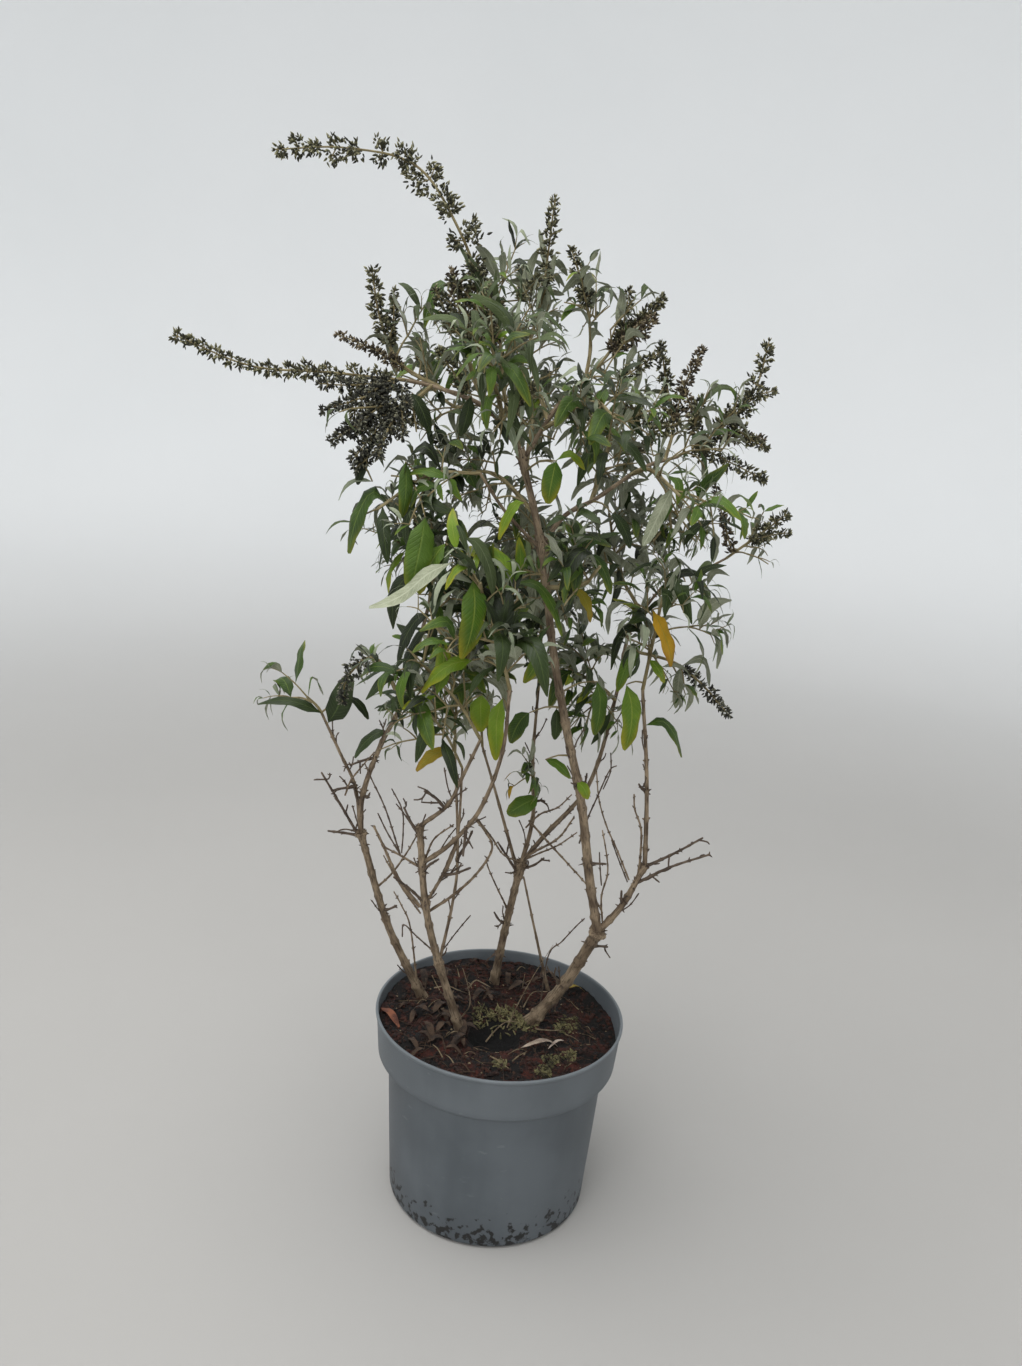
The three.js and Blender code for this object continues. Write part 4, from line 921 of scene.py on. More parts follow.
def ruff(soup, limb, share, keys):
    """Dry scales and the bases of broken twigs that bristle round a fork."""
    for i in range(RUFF["count"]):
        stray = (noise(*keys, i, 1) - 0.5) * RUFF["spread"] / limb.curve.length
        at = min(0.99, max(0.01, share + stray))
        out = sprout(limb.curve.tangent(at), RUFF["turn"] * i, between(RUFF["lean"], *keys, i, 2))
        radius = float(limb.radius(at))
        root = limb.curve.at(at) + out * radius * 0.4
        length = radius * 0.5 + between(RUFF["length"], *keys, i, 3)
        places = np.array([root, root + (0.55 * out + 0.1 * UP) * length, root + out * length])
        thick = RUFF["radius"] * between(RUFF["girth"], *keys, i, 4)
        tube(soup, places, [thick, 0.75 * thick, 0.3 * thick], 5)


def spurs_and_ruffs(soup, limb, number):
    """The dead spurs of a limb, and the ruffs round them and round its forks."""
    for i, (share, *tip) in enumerate(limb.spec.get("dead", [])):
        keys = [number, i + 50]
        dead_twig(soup, bent(limb.curve.at(share), vec(*tip), keys), keys)
        ruff(soup, limb, share, [number, i, 64])
    for i, share in enumerate(limb.knots):
        ruff(soup, limb, share, [number, i, 65])


def fine_dead_twigs(soup, limb, number):
    """Finer dead twigs low on a limb."""
    for i in range(round(limb.curve.length / FINE_DEAD["spacing"])):
        share = noise(number, i, 60)
        root = limb.curve.at(share)
        if root[2] > FINE_DEAD["highest"]:
            continue
        keys = [number, i, 63]
        along = limb.curve.tangent(share)
        out = sprout(along, 6.3 * noise(*keys, 61), 0.9, FINE_DEAD["upward"])
        length = between(FINE_DEAD["length"], *keys, 62)
        dead_twig(soup, bent(root, root + out * length, keys), keys, FINE_DEAD["radius"], False)


def build_dead_twigs(limbs):
    """The dead spurs of the limbs, finer dead twigs low on the stems, and the thin twigs."""
    soup = Soup()
    named = []
    for number, limb in enumerate(limbs.values()):
        spurs_and_ruffs(soup, limb, number)
        if "dead" in limb.spec:
            named.append(limb.spec["name"])
            fine_dead_twigs(soup, limb, number)
    for i, (radius, points) in enumerate(THIN_TWIGS):
        look = 1 if radius >= BROWN_TWIG else 0
        dead_twig(soup, Curve([vec(*p) for p in points]), [i, 66], radius, False, look)
    build_piece("dead_twigs", soup, [DEAD_BARK, BARK], named)


# ---------------------------------------------------------------- the rule of the masses

# The viewer's direction, and the room that other parts leave before a leaf that stands out: how
# far in front of it, and how far to its sides.
VIEW = dict(front=unit(vec(0, -1, 0.2)), reach=70, room=3.6)
CROWN_HEIGHT, LOW_HEIGHT = 645, 500


class Shoot:
    """A leafy twig, which may end in a spike: its leafy share, its leaf pairs and its radii."""

    def __init__(self, curve, plume, spacing, radii, keys):
        self.curve, self.length = curve, curve.length
        self.plume = min(plume, self.length - 2 * SPIKE_OVERLAP)
        self.leafy = 1.0
        if self.plume > 0:
            self.leafy = (self.length - self.plume + SPIKE_OVERLAP) / self.length
        self.spacing, self.radii, self.keys = spacing, radii, keys
        self.pairs = max(1, int((self.length - max(0, self.plume)) // spacing))

    def points(self):
        """Points along the shoot, past its root, at which its surroundings are tested."""
        points = self.curve.spaced(LEAF["sample"])
        away = np.linalg.norm(points - points[0], axis=1)
        return points[away > CLEARANCE["root"]]


class Mass:
    """A mass of foliage: its stem, the points that its parts take, and those to be left in view."""

    def __init__(self, spec, seed, limbs):
        self.spec, self.seed, self.name = spec, seed, spec["name"]
        parent = limbs[spec["parent"]]
        curve = Curve([parent.curve.at(spec["at"]), *spec["way"]])
        radius = min(float(parent.radius(spec["at"])), TWIG["stem_radius"])
        radii = (radius, TWIG["stem_tip"])
        self.stem = Shoot(curve, spec.get("plume", 0), TWIG["node_spacing"], radii, [seed, 0])
        self.samples = curve.spaced(LEAF["sample"])
        self.taken = np.zeros((0, 3))
        self.shown = np.zeros((0, 3))
        height = float(curve.at(self.stem.leafy)[2])
        self.level = "crown" if height > CROWN_HEIGHT else "low" if height < LOW_HEIGHT else "middle"

    def take(self, points):
        self.taken = np.concatenate([self.taken, points])

    def hides(self, points):
        """True if any point lies in front of a leaf that stands out."""
        if not len(self.shown):
            return False
        away = points[:, None] - self.shown[None]
        ahead = away @ VIEW["front"]
        aside = (away**2).sum(2) - ahead**2
        return bool(np.any((ahead > 0) & (ahead < VIEW["reach"]) & (aside < VIEW["room"] ** 2)))

    def crowded(self, points, room):
        """True if any point hides a leaf that stands out or comes too near another part."""
        if self.hides(points):
            return True
        if not len(self.taken):
            return False
        away = ((points[:, None] - self.taken[None]) ** 2).sum(2)
        return bool(away.min() < room * room)


class Space:
    """Tests points against the masses' spaces, the limbs and the plant's box."""

    def __init__(self, masses, limbs):
        self.reach = np.array([m.spec["reach"] for m in masses], float)
        self.samples = np.concatenate([m.samples for m in masses])
        self.starts = np.cumsum([0] + [len(m.samples) for m in masses[:-1]])
        self.limb_samples = np.concatenate([limb.samples for limb in limbs])
        thickest = [np.full(len(limb.samples), max(limb.spec["radii"])) for limb in limbs]
        self.limb_room = np.concatenate(thickest)
        self.low = np.array(cad_box[0]) / MM + CLEARANCE["box"]
        self.high = np.array(cad_box[1]) / MM - CLEARANCE["box"]

    def inside(self, mass, points):
        """True if every point is in the plant's box and in the mass's own space.

        That space ends at the mass's reach, and where another stem is nearer for its reach.
        """
        away = np.linalg.norm(points[:, None] - self.samples[None], axis=2)
        nearest = np.minimum.reduceat(away, self.starts, axis=1)
        own = nearest[:, mass.seed - 1]
        shares = nearest / self.reach
        shares[:, mass.seed - 1] = np.inf
        limit = (own + CLEARANCE["space"]) / mass.spec["reach"]
        boxed = np.all((points > self.low) & (points < self.high))
        return bool(boxed and np.all(own <= mass.spec["reach"]) and np.all(shares.min(1) > limit))

    def clear(self, points):
        """True if every point keeps clear of the limbs and above the pot."""
        away = np.linalg.norm(points[:, None] - self.limb_samples[None], axis=2)
        free = np.all(away > self.limb_room + CLEARANCE["limb"])
        return bool(free and np.all(points[:, 2] > POT["height"]))

    def fits(self, mass, points, room):
        return self.inside(mass, points) and self.clear(points) and not mass.crowded(points, room)


class Leaf:
    """Where a leaf's root, widest part and tip lie, and its direction across."""

    def __init__(self, root, middle, tip, side, length, keys, width=None):
        self.root, self.middle, self.tip, self.side = root, middle, tip, side
        self.length, self.keys, self.width = length, keys, width

    def points(self):
        """Points over the leaf, at which its surroundings are tested."""
        found = [self.tip]
        steps = math.ceil(self.length / LEAF["sample"])
        widest = LEAF["widest_at"]
        for i in range(1, steps):
            if i / steps * self.length < CLEARANCE["root"]:
                continue
            share = i / steps
            half = self.length * LEAF["width_ratio"] / 2
            if share < widest:
                local = share / widest
                centre, half = mix(self.root, self.middle, local), half * local
            else:
                local = (share - widest) / (1 - widest)
                centre, half = mix(self.middle, self.tip, local), half * (1 - local)
            found += [centre, centre + self.side * half, centre - self.side * half]
        return np.array(found)


def side_of(direction, root):
    """The direction across a leaf whose upper side turns up and away from the plant's middle."""
    outward = unit(vec(root[0], root[1], 0))
    level = cross_frame(direction)[0]
    return unit(np.cross(direction, UP + LEAF_FACE["outward"] * outward) + LEAF_FACE["skew"] * level)


def grown_leaf(root, out, length, keys, habit):
    """A leaf that leaves its twig along "out", rises a little and then falls."""
    rise = between(habit["rise"], *keys, 1)
    fall = between(habit["fall"], *keys, 2)
    middle = root + unit(out + UP * rise) * length * LEAF["widest_at"]
    tip = middle + unit(out - UP * fall) * length * (1 - LEAF["widest_at"])
    side = turned(side_of(out, root), out, between((-LEAF["roll"], LEAF["roll"]), *keys, 3))
    return Leaf(root, middle, tip, side, length, keys)


# How a kind of leaf is made: width to length, fold at the midrib, curl of the outer part,
# rolled edges, waved edges, and how quickly it narrows to its ends.
LEAF_KINDS = {
    "dark": dict(width=0.25, fold=0.22, curl=0.22, rolled=0.3, wave=0.12, blunt=0.66),
    "green": dict(width=0.28, fold=0.18, curl=0.2, rolled=0.32, wave=0.14, blunt=0.55),
    "fresh": dict(width=0.28, fold=0.2, curl=0.22, rolled=0.3, wave=0.16, blunt=0.58),
    "yellow": dict(width=0.24, fold=0.3, curl=0.26, rolled=0.3, wave=0.18, blunt=0.66),
    "sage": dict(width=0.19, fold=0.34, curl=0.34, rolled=0.36, wave=0.1, blunt=0.72),
    "silver": dict(width=0.17, fold=0.4, curl=0.44, rolled=0.45, wave=0.1, blunt=0.78),
}
BROAD_LEAF = dict(curl=0.6, blunt=0.42)  # for a leaf whose width is given
LARGE_LEAF, SMALL_LEAF = 36, 18  # a longer leaf gets more faces, a shorter one fewer
BLADE = dict(ends=(0.015, 0.985), sickle=(-0.07, 0.07), twist=(-0.5, 0.5), twist_from=0.3,
             curl=(0.2, 1.6), curl_from=0.5, girth=(0.85, 1.15), egg=0.85, least=0.25,
             neck_from=0.02, neck=0.16, neck_least=0.12, waves=15, inset=0.25,
             thickness=0.011, thinnest=0.35, tip=0.02)


def blade_line(leaf, s):
    """Places along a leaf's midrib, and there its directions along, across and out."""
    sickle = leaf.side * leaf.length * between(BLADE["sickle"], *leaf.keys, 17)
    places = Curve([leaf.root, leaf.middle + sickle, leaf.tip]).at(s)
    along = units(np.gradient(places, axis=0))
    side = units(leaf.side - along * (along @ leaf.side)[:, None])
    normal = np.cross(side, along)
    turn = (between(BLADE["twist"], *leaf.keys, 11) * (s - BLADE["twist_from"]))[:, None]
    cosine, sine = np.cos(turn), np.sin(turn)
    return places, along, side * cosine + normal * sine, normal * cosine - side * sine


def blade_halves(leaf, shape, s):
    """Half a leaf's width at each share of its length."""
    own = leaf.length * shape["width"] * between(BLADE["girth"], *leaf.keys, 13)
    width = leaf.width or own
    blunt = BROAD_LEAF["blunt"] if leaf.width else shape["blunt"]
    neck = np.clip((s - BLADE["neck_from"]) / BLADE["neck"], BLADE["neck_least"], 1)
    half = 0.5 * width * np.sin(math.pi * s ** BLADE["egg"]) ** blunt * neck
    return np.maximum(half, BLADE["least"])


def blade(soup, leaf, kind):
    """A leaf as a thin closed body: folded, waved and curled, its upper and lower sides apart."""
    shape = LEAF_KINDS[kind]
    large = leaf.length > LARGE_LEAF
    columns = vec(-1, -0.5, 0, 0.5, 1) if large else vec(-1, 0, 1)
    rows = 11 if large else 8 if leaf.length > SMALL_LEAF else 6
    s = np.linspace(*BLADE["ends"], rows)
    places, along, side, normal = blade_line(leaf, s)
    curl = shape["curl"] * (BROAD_LEAF["curl"] if leaf.width else between(BLADE["curl"], *leaf.keys, 12))
    outer = np.clip((s - BLADE["curl_from"]) / (1 - BLADE["curl_from"]), 0, 1)
    places = places - normal * (curl * leaf.length * outer**2)[:, None]
    half = blade_halves(leaf, shape, s)
    u = columns[None, :]
    ripple = np.sin(s * BLADE["waves"] + 6.3 * noise(*leaf.keys, 14))
    wave = shape["wave"] * ripple[:, None] * np.sign(u) * u**2
    lift = np.abs(u) * shape["fold"] - shape["rolled"] * np.abs(u) ** 3 + wave
    flat = u * (1 - BLADE["inset"] * shape["rolled"] * np.abs(u))
    top = places[:, None] + side[:, None] * (half[:, None] * flat)[..., None]
    top = top + normal[:, None] * (half[:, None] * lift)[..., None]
    thick = max(BLADE["thinnest"], BLADE["thickness"] * leaf.length) * (1 - 0.6 * np.abs(columns[1:-1]))
    taper = (0.4 + 0.6 * np.sin(math.pi * s))[:, None]
    below = top[:, 1:-1] - normal[:, None] * (thick[None, :] * taper)[..., None]
    rings = np.concatenate([top, below[:, ::-1]], axis=1)
    ring_u = np.concatenate([columns, columns[1:-1][::-1]])
    marks = np.stack(np.broadcast_arrays(ring_u[None, :], s[:, None], noise(*leaf.keys, 15)), -1)
    strips = len(columns) - 1
    end = places[-1] + along[-1] * leaf.length * BLADE["tip"]
    loft(soup, rings, marks, np.array([0] * strips + [1] * strips), leaf.root, end)


# ---------------------------------------------------------------- colours by spray

# The share of each colour among the sprays, by height; the youngest sprays take their own.
PALETTES = {
    "crown": dict(silver=0.22, sage=0.28, dark=0.3, green=0.18, fresh=0.02),
    "middle": dict(silver=0.06, sage=0.12, dark=0.5, green=0.27, fresh=0.05),
    "low": dict(silver=0.02, sage=0.06, dark=0.3, green=0.4, fresh=0.12, yellow=0.02),
    "young": dict(silver=0.36, sage=0.28, dark=0.24, green=0.12),
}
SAME_COLOUR = 0.7  # the share of a shoot's leaves that have the shoot's own colour
# How many of the finer twigs grow, by height, and in the masses that are thinner than the rest.
FULLNESS = dict(crown=0.68, middle=0.92, low=1)
THIN = dict(
    left_outer=0.2, left_plume=0.2, right_plume=0.3, far_right=0.12, low_sprig=0.3, spire_left=0.4,
    arm_left=0.3, cluster_left=0, tuft_left=0.3, tuft_far_right=0.4, spray_right=0.2,
    spray_right_rear=0.35, spray_right_low=0.3, spray_left=0.35, left_middle=0.6, right_middle=0.6,
    rear_right=0.6, rear_left=0.7, front_arched=0.3, spray_left_rear=0.4, spray_right_front=0.4,
)
# The share of their leaf pairs that the sparsest masses keep.
SPARSE = dict(
    cluster_left=0, far_right=0.2, tuft_top_right=0.6, tuft_far_right=0.6, front_arched=0.5,
    spray_right=0.25, spray_right_low=0.3, spray_right_rear=0.5, spray_right_front=0.35,
    crown_rear_right=0.7, right_middle=0.7,
)


def spray_kind(mass, keys, young=False):
    """The colour of one spray: silvery when young or in the crown, greener and yellower low down."""
    palette = PALETTES["young" if young else mass.level]
    pick = noise(*keys, 21) * sum(palette.values())
    for kind, share in palette.items():
        pick -= share
        if pick <= 0:
            return kind
    return "sage"


# ---------------------------------------------------------------- twigs and leaves

STALK = dict(rings=5, radii=(0.9, 0.5), sides=6, arch=0.1)
BROADENED = 1.05  # a leaf's made width against its row's, as its folded blade looks narrower
# Leaves that stand out, each on a thin twig from the nearest stem: colour, root, tip, width,
# and how far it arches against its length.  A negative width turns the underside outward.
KEY_LEAVES = [
    ("green", (-115, -60, 616), (-147, -62, 578), 17, 0.42),
    ("green", (-84, -92, 611), (-91, -98, 557), 20, 0.05),
    ("fresh", (-69, -84, 593), (-89, -88, 556), 15, 0.1),
    ("silver", (-62, -104, 582), (-108, -108, 539), -15, 0.12),
    ("fresh", (-46, -112, 572), (-46, -118, 515), 19, 0.05),
    ("dark", (-75, -80, 539), (-103, -86, 502), 11, 0.22),
    ("fresh", (-43, -92, 510), (-82, -100, 488), 15, 0.15),
    ("dark", (-74, -70, 530), (-80, -72, 503), 8, 0.1),
    ("dark", (-167, -10, 437), (-219, -16, 448), 11, 0.08),
    ("dark", (-162, -9, 429), (-147, -14, 471), 20, 0),
    ("dark", (-147, -8, 451), (-127, -10, 436), 8, 0.2),
    ("dark", (-96, -18, 450), (-120, -26, 450), 10, 0.15),
    ("dark", (-95, -20, 447), (-70, -28, 448), 9, 0.1),
    ("dark", (-112, -14, 428), (-140, -20, 406), 11, 0.15),
    ("yellow", (-55, -56, 427), (-84, -66, 415), 12, 0.2),
    ("fresh", (-35, -66, 478), (-33, -70, 449), 17, 0.05),
    ("fresh", (-19, -78, 480), (-19, -82, 430), 13, 0.05),
    ("green", (3, -40, 460), (-12, -46, 436), 16, 0.1),
    ("green", (-39, -60, 482), (-58, -66, 478), 8, 0.1),
    ("fresh", (7, -66, 515), (-3, -70, 490), 10, 0.1),
    ("green", (56, -16, 484), (60, -20, 439), 14, 0.05),
    ("fresh", (79, -22, 485), (87, -26, 430), 18, 0.05),
    ("green", (99, -13, 450), (135, -18, 429), 11, 0.28),
    ("yellow", (93, -22, 547), (117, -26, 504), 14, 0.15),
    ("fresh", (96, -18, 506), (111, -22, 490), 10, 0.1),
    ("yellow", (27, -64, 564), (45, -70, 543), 10, 0.2),
    ("fresh", (6, -74, 657), (2, -80, 627), 15, 0.15),
    ("fresh", (4, -72, 656), (28, -80, 655), 10, 0.3),
    ("green", (-81, -8, 776), (-104, -14, 747), 14, 0.35),
    ("green", (41, -10, 713), (31, -16, 694), 11, 0.1),
    ("dark", (-104, -44, 697), (-87, -50, 671), 12, 0.1),
    ("dark", (-60, -56, 697), (-64, -60, 669), 10, 0.1),
    ("green", (-102, -78, 648), (-100, -82, 609), 11, 0.05),
    ("dark", (-133, -58, 652), (-139, -60, 628), 8, 0.15),
    ("silver", (-128, -56, 631), (-156, -60, 621), 6, 0.15),
    ("fresh", (-14, -92, 627), (-33, -98, 601), 9, 0.3),
    ("sage", (-57, -112, 600), (-26, -118, 565), 11, 0.25),
    ("green", (-18, -60, 565), (26, -70, 532), 10, 0.2),
    ("green", (33, -60, 591), (58, -68, 565), 11, 0.2),
    ("dark", (51, -50, 622), (69, -58, 599), 11, 0.15),
    ("dark", (128, 52, 562), (105, 44, 552), 10, 0.2),
    ("sage", (134, 52, 561), (153, 44, 541), 9, 0.25),
    ("silver", (93, -62, 645), (75, -70, 600), -11, 0.15),
    ("green", (18, 22, 368), (-8, 14, 354), 19, 0.05),
    ("fresh", (46, -38, 405), (57, -42, 393), 11, 0.1),
    ("green", (19, -36, 421), (41, -42, 410), 9, 0.1),
    ("dark", (24, -36, 464), (26, -40, 439), 10, 0.05),
]


class Foliage:
    """The joined meshes that the masses grow into."""

    def __init__(self):
        self.leaves = {kind: Soup() for kind in LEAF_KINDS}
        self.twigs = Soup()
        self.pods = {colour: Soup() for colour in POD_LOOKS}


def stalk(foliage, stems, root):
    """A thin twig from the nearest stem to a leaf's root."""
    anchor = stems[np.argmin(np.linalg.norm(stems - root, axis=1))]
    bend = mix(anchor, root, 0.5) + UP * STALK["arch"] * float(np.linalg.norm(root - anchor))
    places = Curve([anchor, bend, root]).at(np.linspace(0, 1, STALK["rings"]))
    tube(foliage.twigs, places, np.linspace(*STALK["radii"], STALK["rings"]), STALK["sides"])


def grow_key_leaves(foliage, limbs, masses):
    """The leaves that stand out; the masses keep the rest of their leaves off them."""
    stems = np.concatenate([grown.samples for grown in [*limbs.values(), *masses]])
    for number, (kind, root, tip, width, arch) in enumerate(KEY_LEAVES):
        root, tip = vec(*root), vec(*tip)
        length = float(np.linalg.norm(tip - root))
        middle = mix(root, tip, LEAF["widest_at"]) + UP * arch * length
        side = side_of(unit(tip - root), vec(0, -1, 0)) * (1 if width > 0 else -1)
        leaf = Leaf(root, middle, tip, side, length, [number, 200], BROADENED * abs(width))
        blade(foliage.leaves[kind], leaf, kind)
        stalk(foliage, stems, root)
        points = leaf.points()
        for mass in masses:
            mass.take(points)
            mass.shown = np.concatenate([mass.shown, points])


def twig_mesh(foliage, shoot, sides=7):
    """The leafy part of a stem or shoot, swollen at its nodes."""
    curve = shoot.curve
    shares = np.linspace(0, shoot.leafy, max(4, round(curve.length * shoot.leafy / 3.5)))
    radii = mix(shoot.radii[0], shoot.radii[1], shares / shoot.leafy)
    nodes = np.arange(1, 1 + curve.length / shoot.spacing) * shoot.spacing / curve.length
    radii = swollen(radii, shares, nodes, curve.length, 0.25, 1.8)
    tube(foliage.twigs, curve.at(shares), radii, sides)


def leaf_direction(along, angle, forward):
    """Where a leaf points as it leaves its twig."""
    out = sprout(along, angle, forward)
    out[2] = min(out[2], LEAF["steepest"])
    return unit(out)


def put_leaf(foliage, space, mass, root, out, size, keys, kind, room, habit=LEAF):
    """A leaf at the first size that keeps clear of its surroundings."""
    for scale in LEAF["sizes"]:
        leaf = grown_leaf(root, out, size * scale, keys, habit)
        points = leaf.points()
        if space.fits(mass, points, room):
            blade(foliage.leaves[kind], leaf, kind)
            foliage.leaves[kind].masses.add(mass.name)
            mass.take(points)
            return


def leaf_pairs(foliage, space, mass, shoot):
    """The pairs of leaves along a stem or shoot."""
    shoot_kind = spray_kind(mass, shoot.keys)
    kept = SPARSE.get(mass.name, 1)
    for i in range(1, shoot.pairs + 1):
        for face in (0, 1):
            keys = [*shoot.keys, i, face]
            if noise(*keys, 16) > kept:
                continue
            share = i / shoot.pairs * TWIG["last_pair"] * shoot.leafy
            angle = axil(i, face) + between((-LEAF["turn"], LEAF["turn"]), *keys, 7)
            forward = between(LEAF["forward"], *keys, 8)
            out = leaf_direction(shoot.curve.tangent(share), angle, forward)
            size = mass.spec["leaf"] * between(LEAF["spread"], *keys, 9) * mix(*LEAF["taper"], share)
            kind = shoot_kind if noise(*keys, 10) < SAME_COLOUR else spray_kind(mass, keys)
            root = shoot.curve.at(share)
            put_leaf(foliage, space, mass, root, out, size, keys, kind, CLEARANCE["leaf"])


def side_shoot(mass, index):
    """A shoot that leaves a mass's stem below its spike."""
    spec, curve = mass.spec, mass.stem.curve
    keys = [mass.seed, index + 10]
    leafy = 1 - spec.get("plume", 0) / curve.length
    share = mix(SHOOT["first"], SHOOT["last"], (index + 0.5) / spec["shoots"]) * leafy
    root = curve.at(share)
    along = curve.tangent(share)
    turn = index * SHOOT["turn"] + between((-SHOOT["stray"], SHOOT["stray"]), *keys, 1)
    out = radial(along, turn) * math.sin(SHOOT["angle"]) + along * math.cos(SHOOT["angle"])
    size = between((SHOOT["shortest"], SHOOT["longest"]), *keys, 2) * (1 - SHOOT["shrink"] * share)
    length = spec["reach"] * size
    tip = root + out * length - UP * SHOOT["droop"] * length
    arch = mix(root, tip, 0.5) + UP * SHOOT["arch"] * length
    radii = (TWIG["shoot_radius"], TWIG["shoot_tip"])
    return Shoot(Curve([root, arch, tip]), 0, TWIG["shoot_spacing"], radii, keys)


# The finer twigs, in two generations: the chance of one in an axil, its length, the spacing of
# its leaf pairs, its leaves against the mass's, its radius, and the room between its leaves.
FINER = [
    dict(chance=0.94, length=(14, 36), spacing=12, leaf=(0.5, 0.95), radius=0.6, room=1.5),
    dict(chance=0.5, length=(6, 16), spacing=7, leaf=(0.24, 0.46), radius=0.4, room=0.9),
]
STIFF = dict(rise=(0.05, 0.6), fall=(-0.1, 0.9))
FINER_TURN = dict(step=2.0, stray=0.6, forward=(0.2, 1.0), upward=0.2, sag=(-0.15, 0.2), arch=0.05)
FINER_LEAF = dict(lean=0.6, last_lean=1.2, taper=(1.1, 0.75))


def finer_twigs(foliage, space, mass, shoot):
    """Short twigs in and between the leaf axils of a shoot, and one that carries on its tip."""
    nodes = 2 * shoot.pairs
    chance = FINER[0]["chance"] * THIN.get(mass.name, FULLNESS[mass.level])
    stray = FINER_TURN["stray"]
    for i in range(1, nodes + 1):
        for face in (0, 1):
            keys = [*shoot.keys, i, face, 70]
            if noise(*keys, 1) > chance:
                continue
            share = i / nodes * TWIG["last_pair"] * shoot.leafy
            angle = i * FINER_TURN["step"] + face * math.pi + between((-stray, stray), *keys, 2)
            forward = between(FINER_TURN["forward"], *keys, 3)
            out = sprout(shoot.curve.tangent(share), angle, forward, FINER_TURN["upward"])
            finer_twig(foliage, space, mass, shoot.curve.at(share), out, keys, 0)
    if shoot.plume <= 0:
        end, along = shoot.curve.at(1), shoot.curve.tangent(1)
        finer_twig(foliage, space, mass, end, along, [*shoot.keys, 80], 0)


def finer_twig(foliage, space, mass, root, out, keys, generation):
    """A fine twig with its leaf pairs, and the next generation in its axils."""
    shape = FINER[generation]
    length = between(shape["length"], *keys, 4)
    tip = root + out * length + UP * between(FINER_TURN["sag"], *keys, 12) * length
    curve = Curve([root, mix(root, tip, 0.5) + UP * FINER_TURN["arch"] * length, tip])
    tests = curve.at(np.linspace(0.5, 1, 3))
    if not (space.inside(mass, tests) and space.clear(tests)) or mass.crowded(tests[1:], shape["room"]):
        return
    steps = max(4, round(length / 5))
    radii = np.linspace(shape["radius"] * 1.3, shape["radius"] * 0.8, steps)
    tube(foliage.twigs, curve.at(np.linspace(0, 1, steps)), radii, 5)
    foliage.twigs.masses.add(mass.name)
    kind = spray_kind(mass, keys, generation > 0)
    pairs = max(1, round(length / shape["spacing"]))
    for pair in range(1, pairs + 1):
        share = pair / pairs
        along = curve.tangent(share)
        for face in (0, 1):
            own = [*keys, pair, face]
            angle = axil(pair, face) + noise(*own, 5)
            lean = FINER_LEAF["lean"] if pair < pairs else FINER_LEAF["last_lean"]
            direction = sprout(along, angle, lean)
            taper = mix(*FINER_LEAF["taper"], share)
            size = mass.spec["leaf"] * between(shape["leaf"], *own, 6) * taper
            start, room = curve.at(share), shape["room"]
            put_leaf(foliage, space, mass, start, direction, size, own, kind, room, STIFF)
            if generation + 1 < len(FINER) and noise(*own, 9) < FINER[generation + 1]["chance"]:
                side = sprout(along, angle + 0.7, 1, 0.3)
                finer_twig(foliage, space, mass, start, side, [*own, 7], generation + 1)


# ---------------------------------------------------------------- spent flower spikes

# A spike's whorls: their spacing against the spike's width there, the pods of half a whorl
# (fewest, and more for each square millimetre of its size), and how the pods spread.
SPIKE = dict(
    spacing=0.5, least_spacing=4.3, stray=(0.85, 1.2), turn=0.4, first=0.2, fewest=6, density=0.22,
    size=(0.75, 1.15), aside=0.5, ahead=0.25, stalk=(0.6, 0.5, 0.4), pod=(3, 5.6), shortest=1.5,
    growth=0.7, pod_width=2, girth=(0.7, 1.2), full_pod=4.5, stem=1.3, side_stem=0.8, end=0.5,
    fan=1.6, lean=(-0.8, 1.5), ball=0.4,
)
SPIKE_TIP = dict(pods=5, spread=0.5, turn=1.3, length=3.8, width=1.2)
SHOOT_SPIKE = dict(chance=0.6, length=(22, 48), upward=0.9, widths=(13, 7))
POD_RINGS = [(0.3, 1.0), (0.72, 0.66)]  # height and width of each ring of a pod
POD_SIDES = 4
# Widths of the spikes at the foot and at the tip, and what else differs from mass to mass.
COMMON_SPIKE = (19, 8)
SPIKE_WIDTHS = dict(spire_left=(44, 19), arm_left=(20, 9), spray_right=(34, 9), tuft_left=(19, 12))
SPIKE_LENGTHS = dict(spray_right=105)  # where a spike starts lower than the leaves end
WHORL_SPACING = dict(spire_left=0.62)  # where whorls stand farther apart than usual
SIDE_WIDTHS = dict(tuft_left=11, far_right=11, spray_right_rear=15)
DARK_SPIKES = {"cluster_left", "right_plume", "left_plume"}
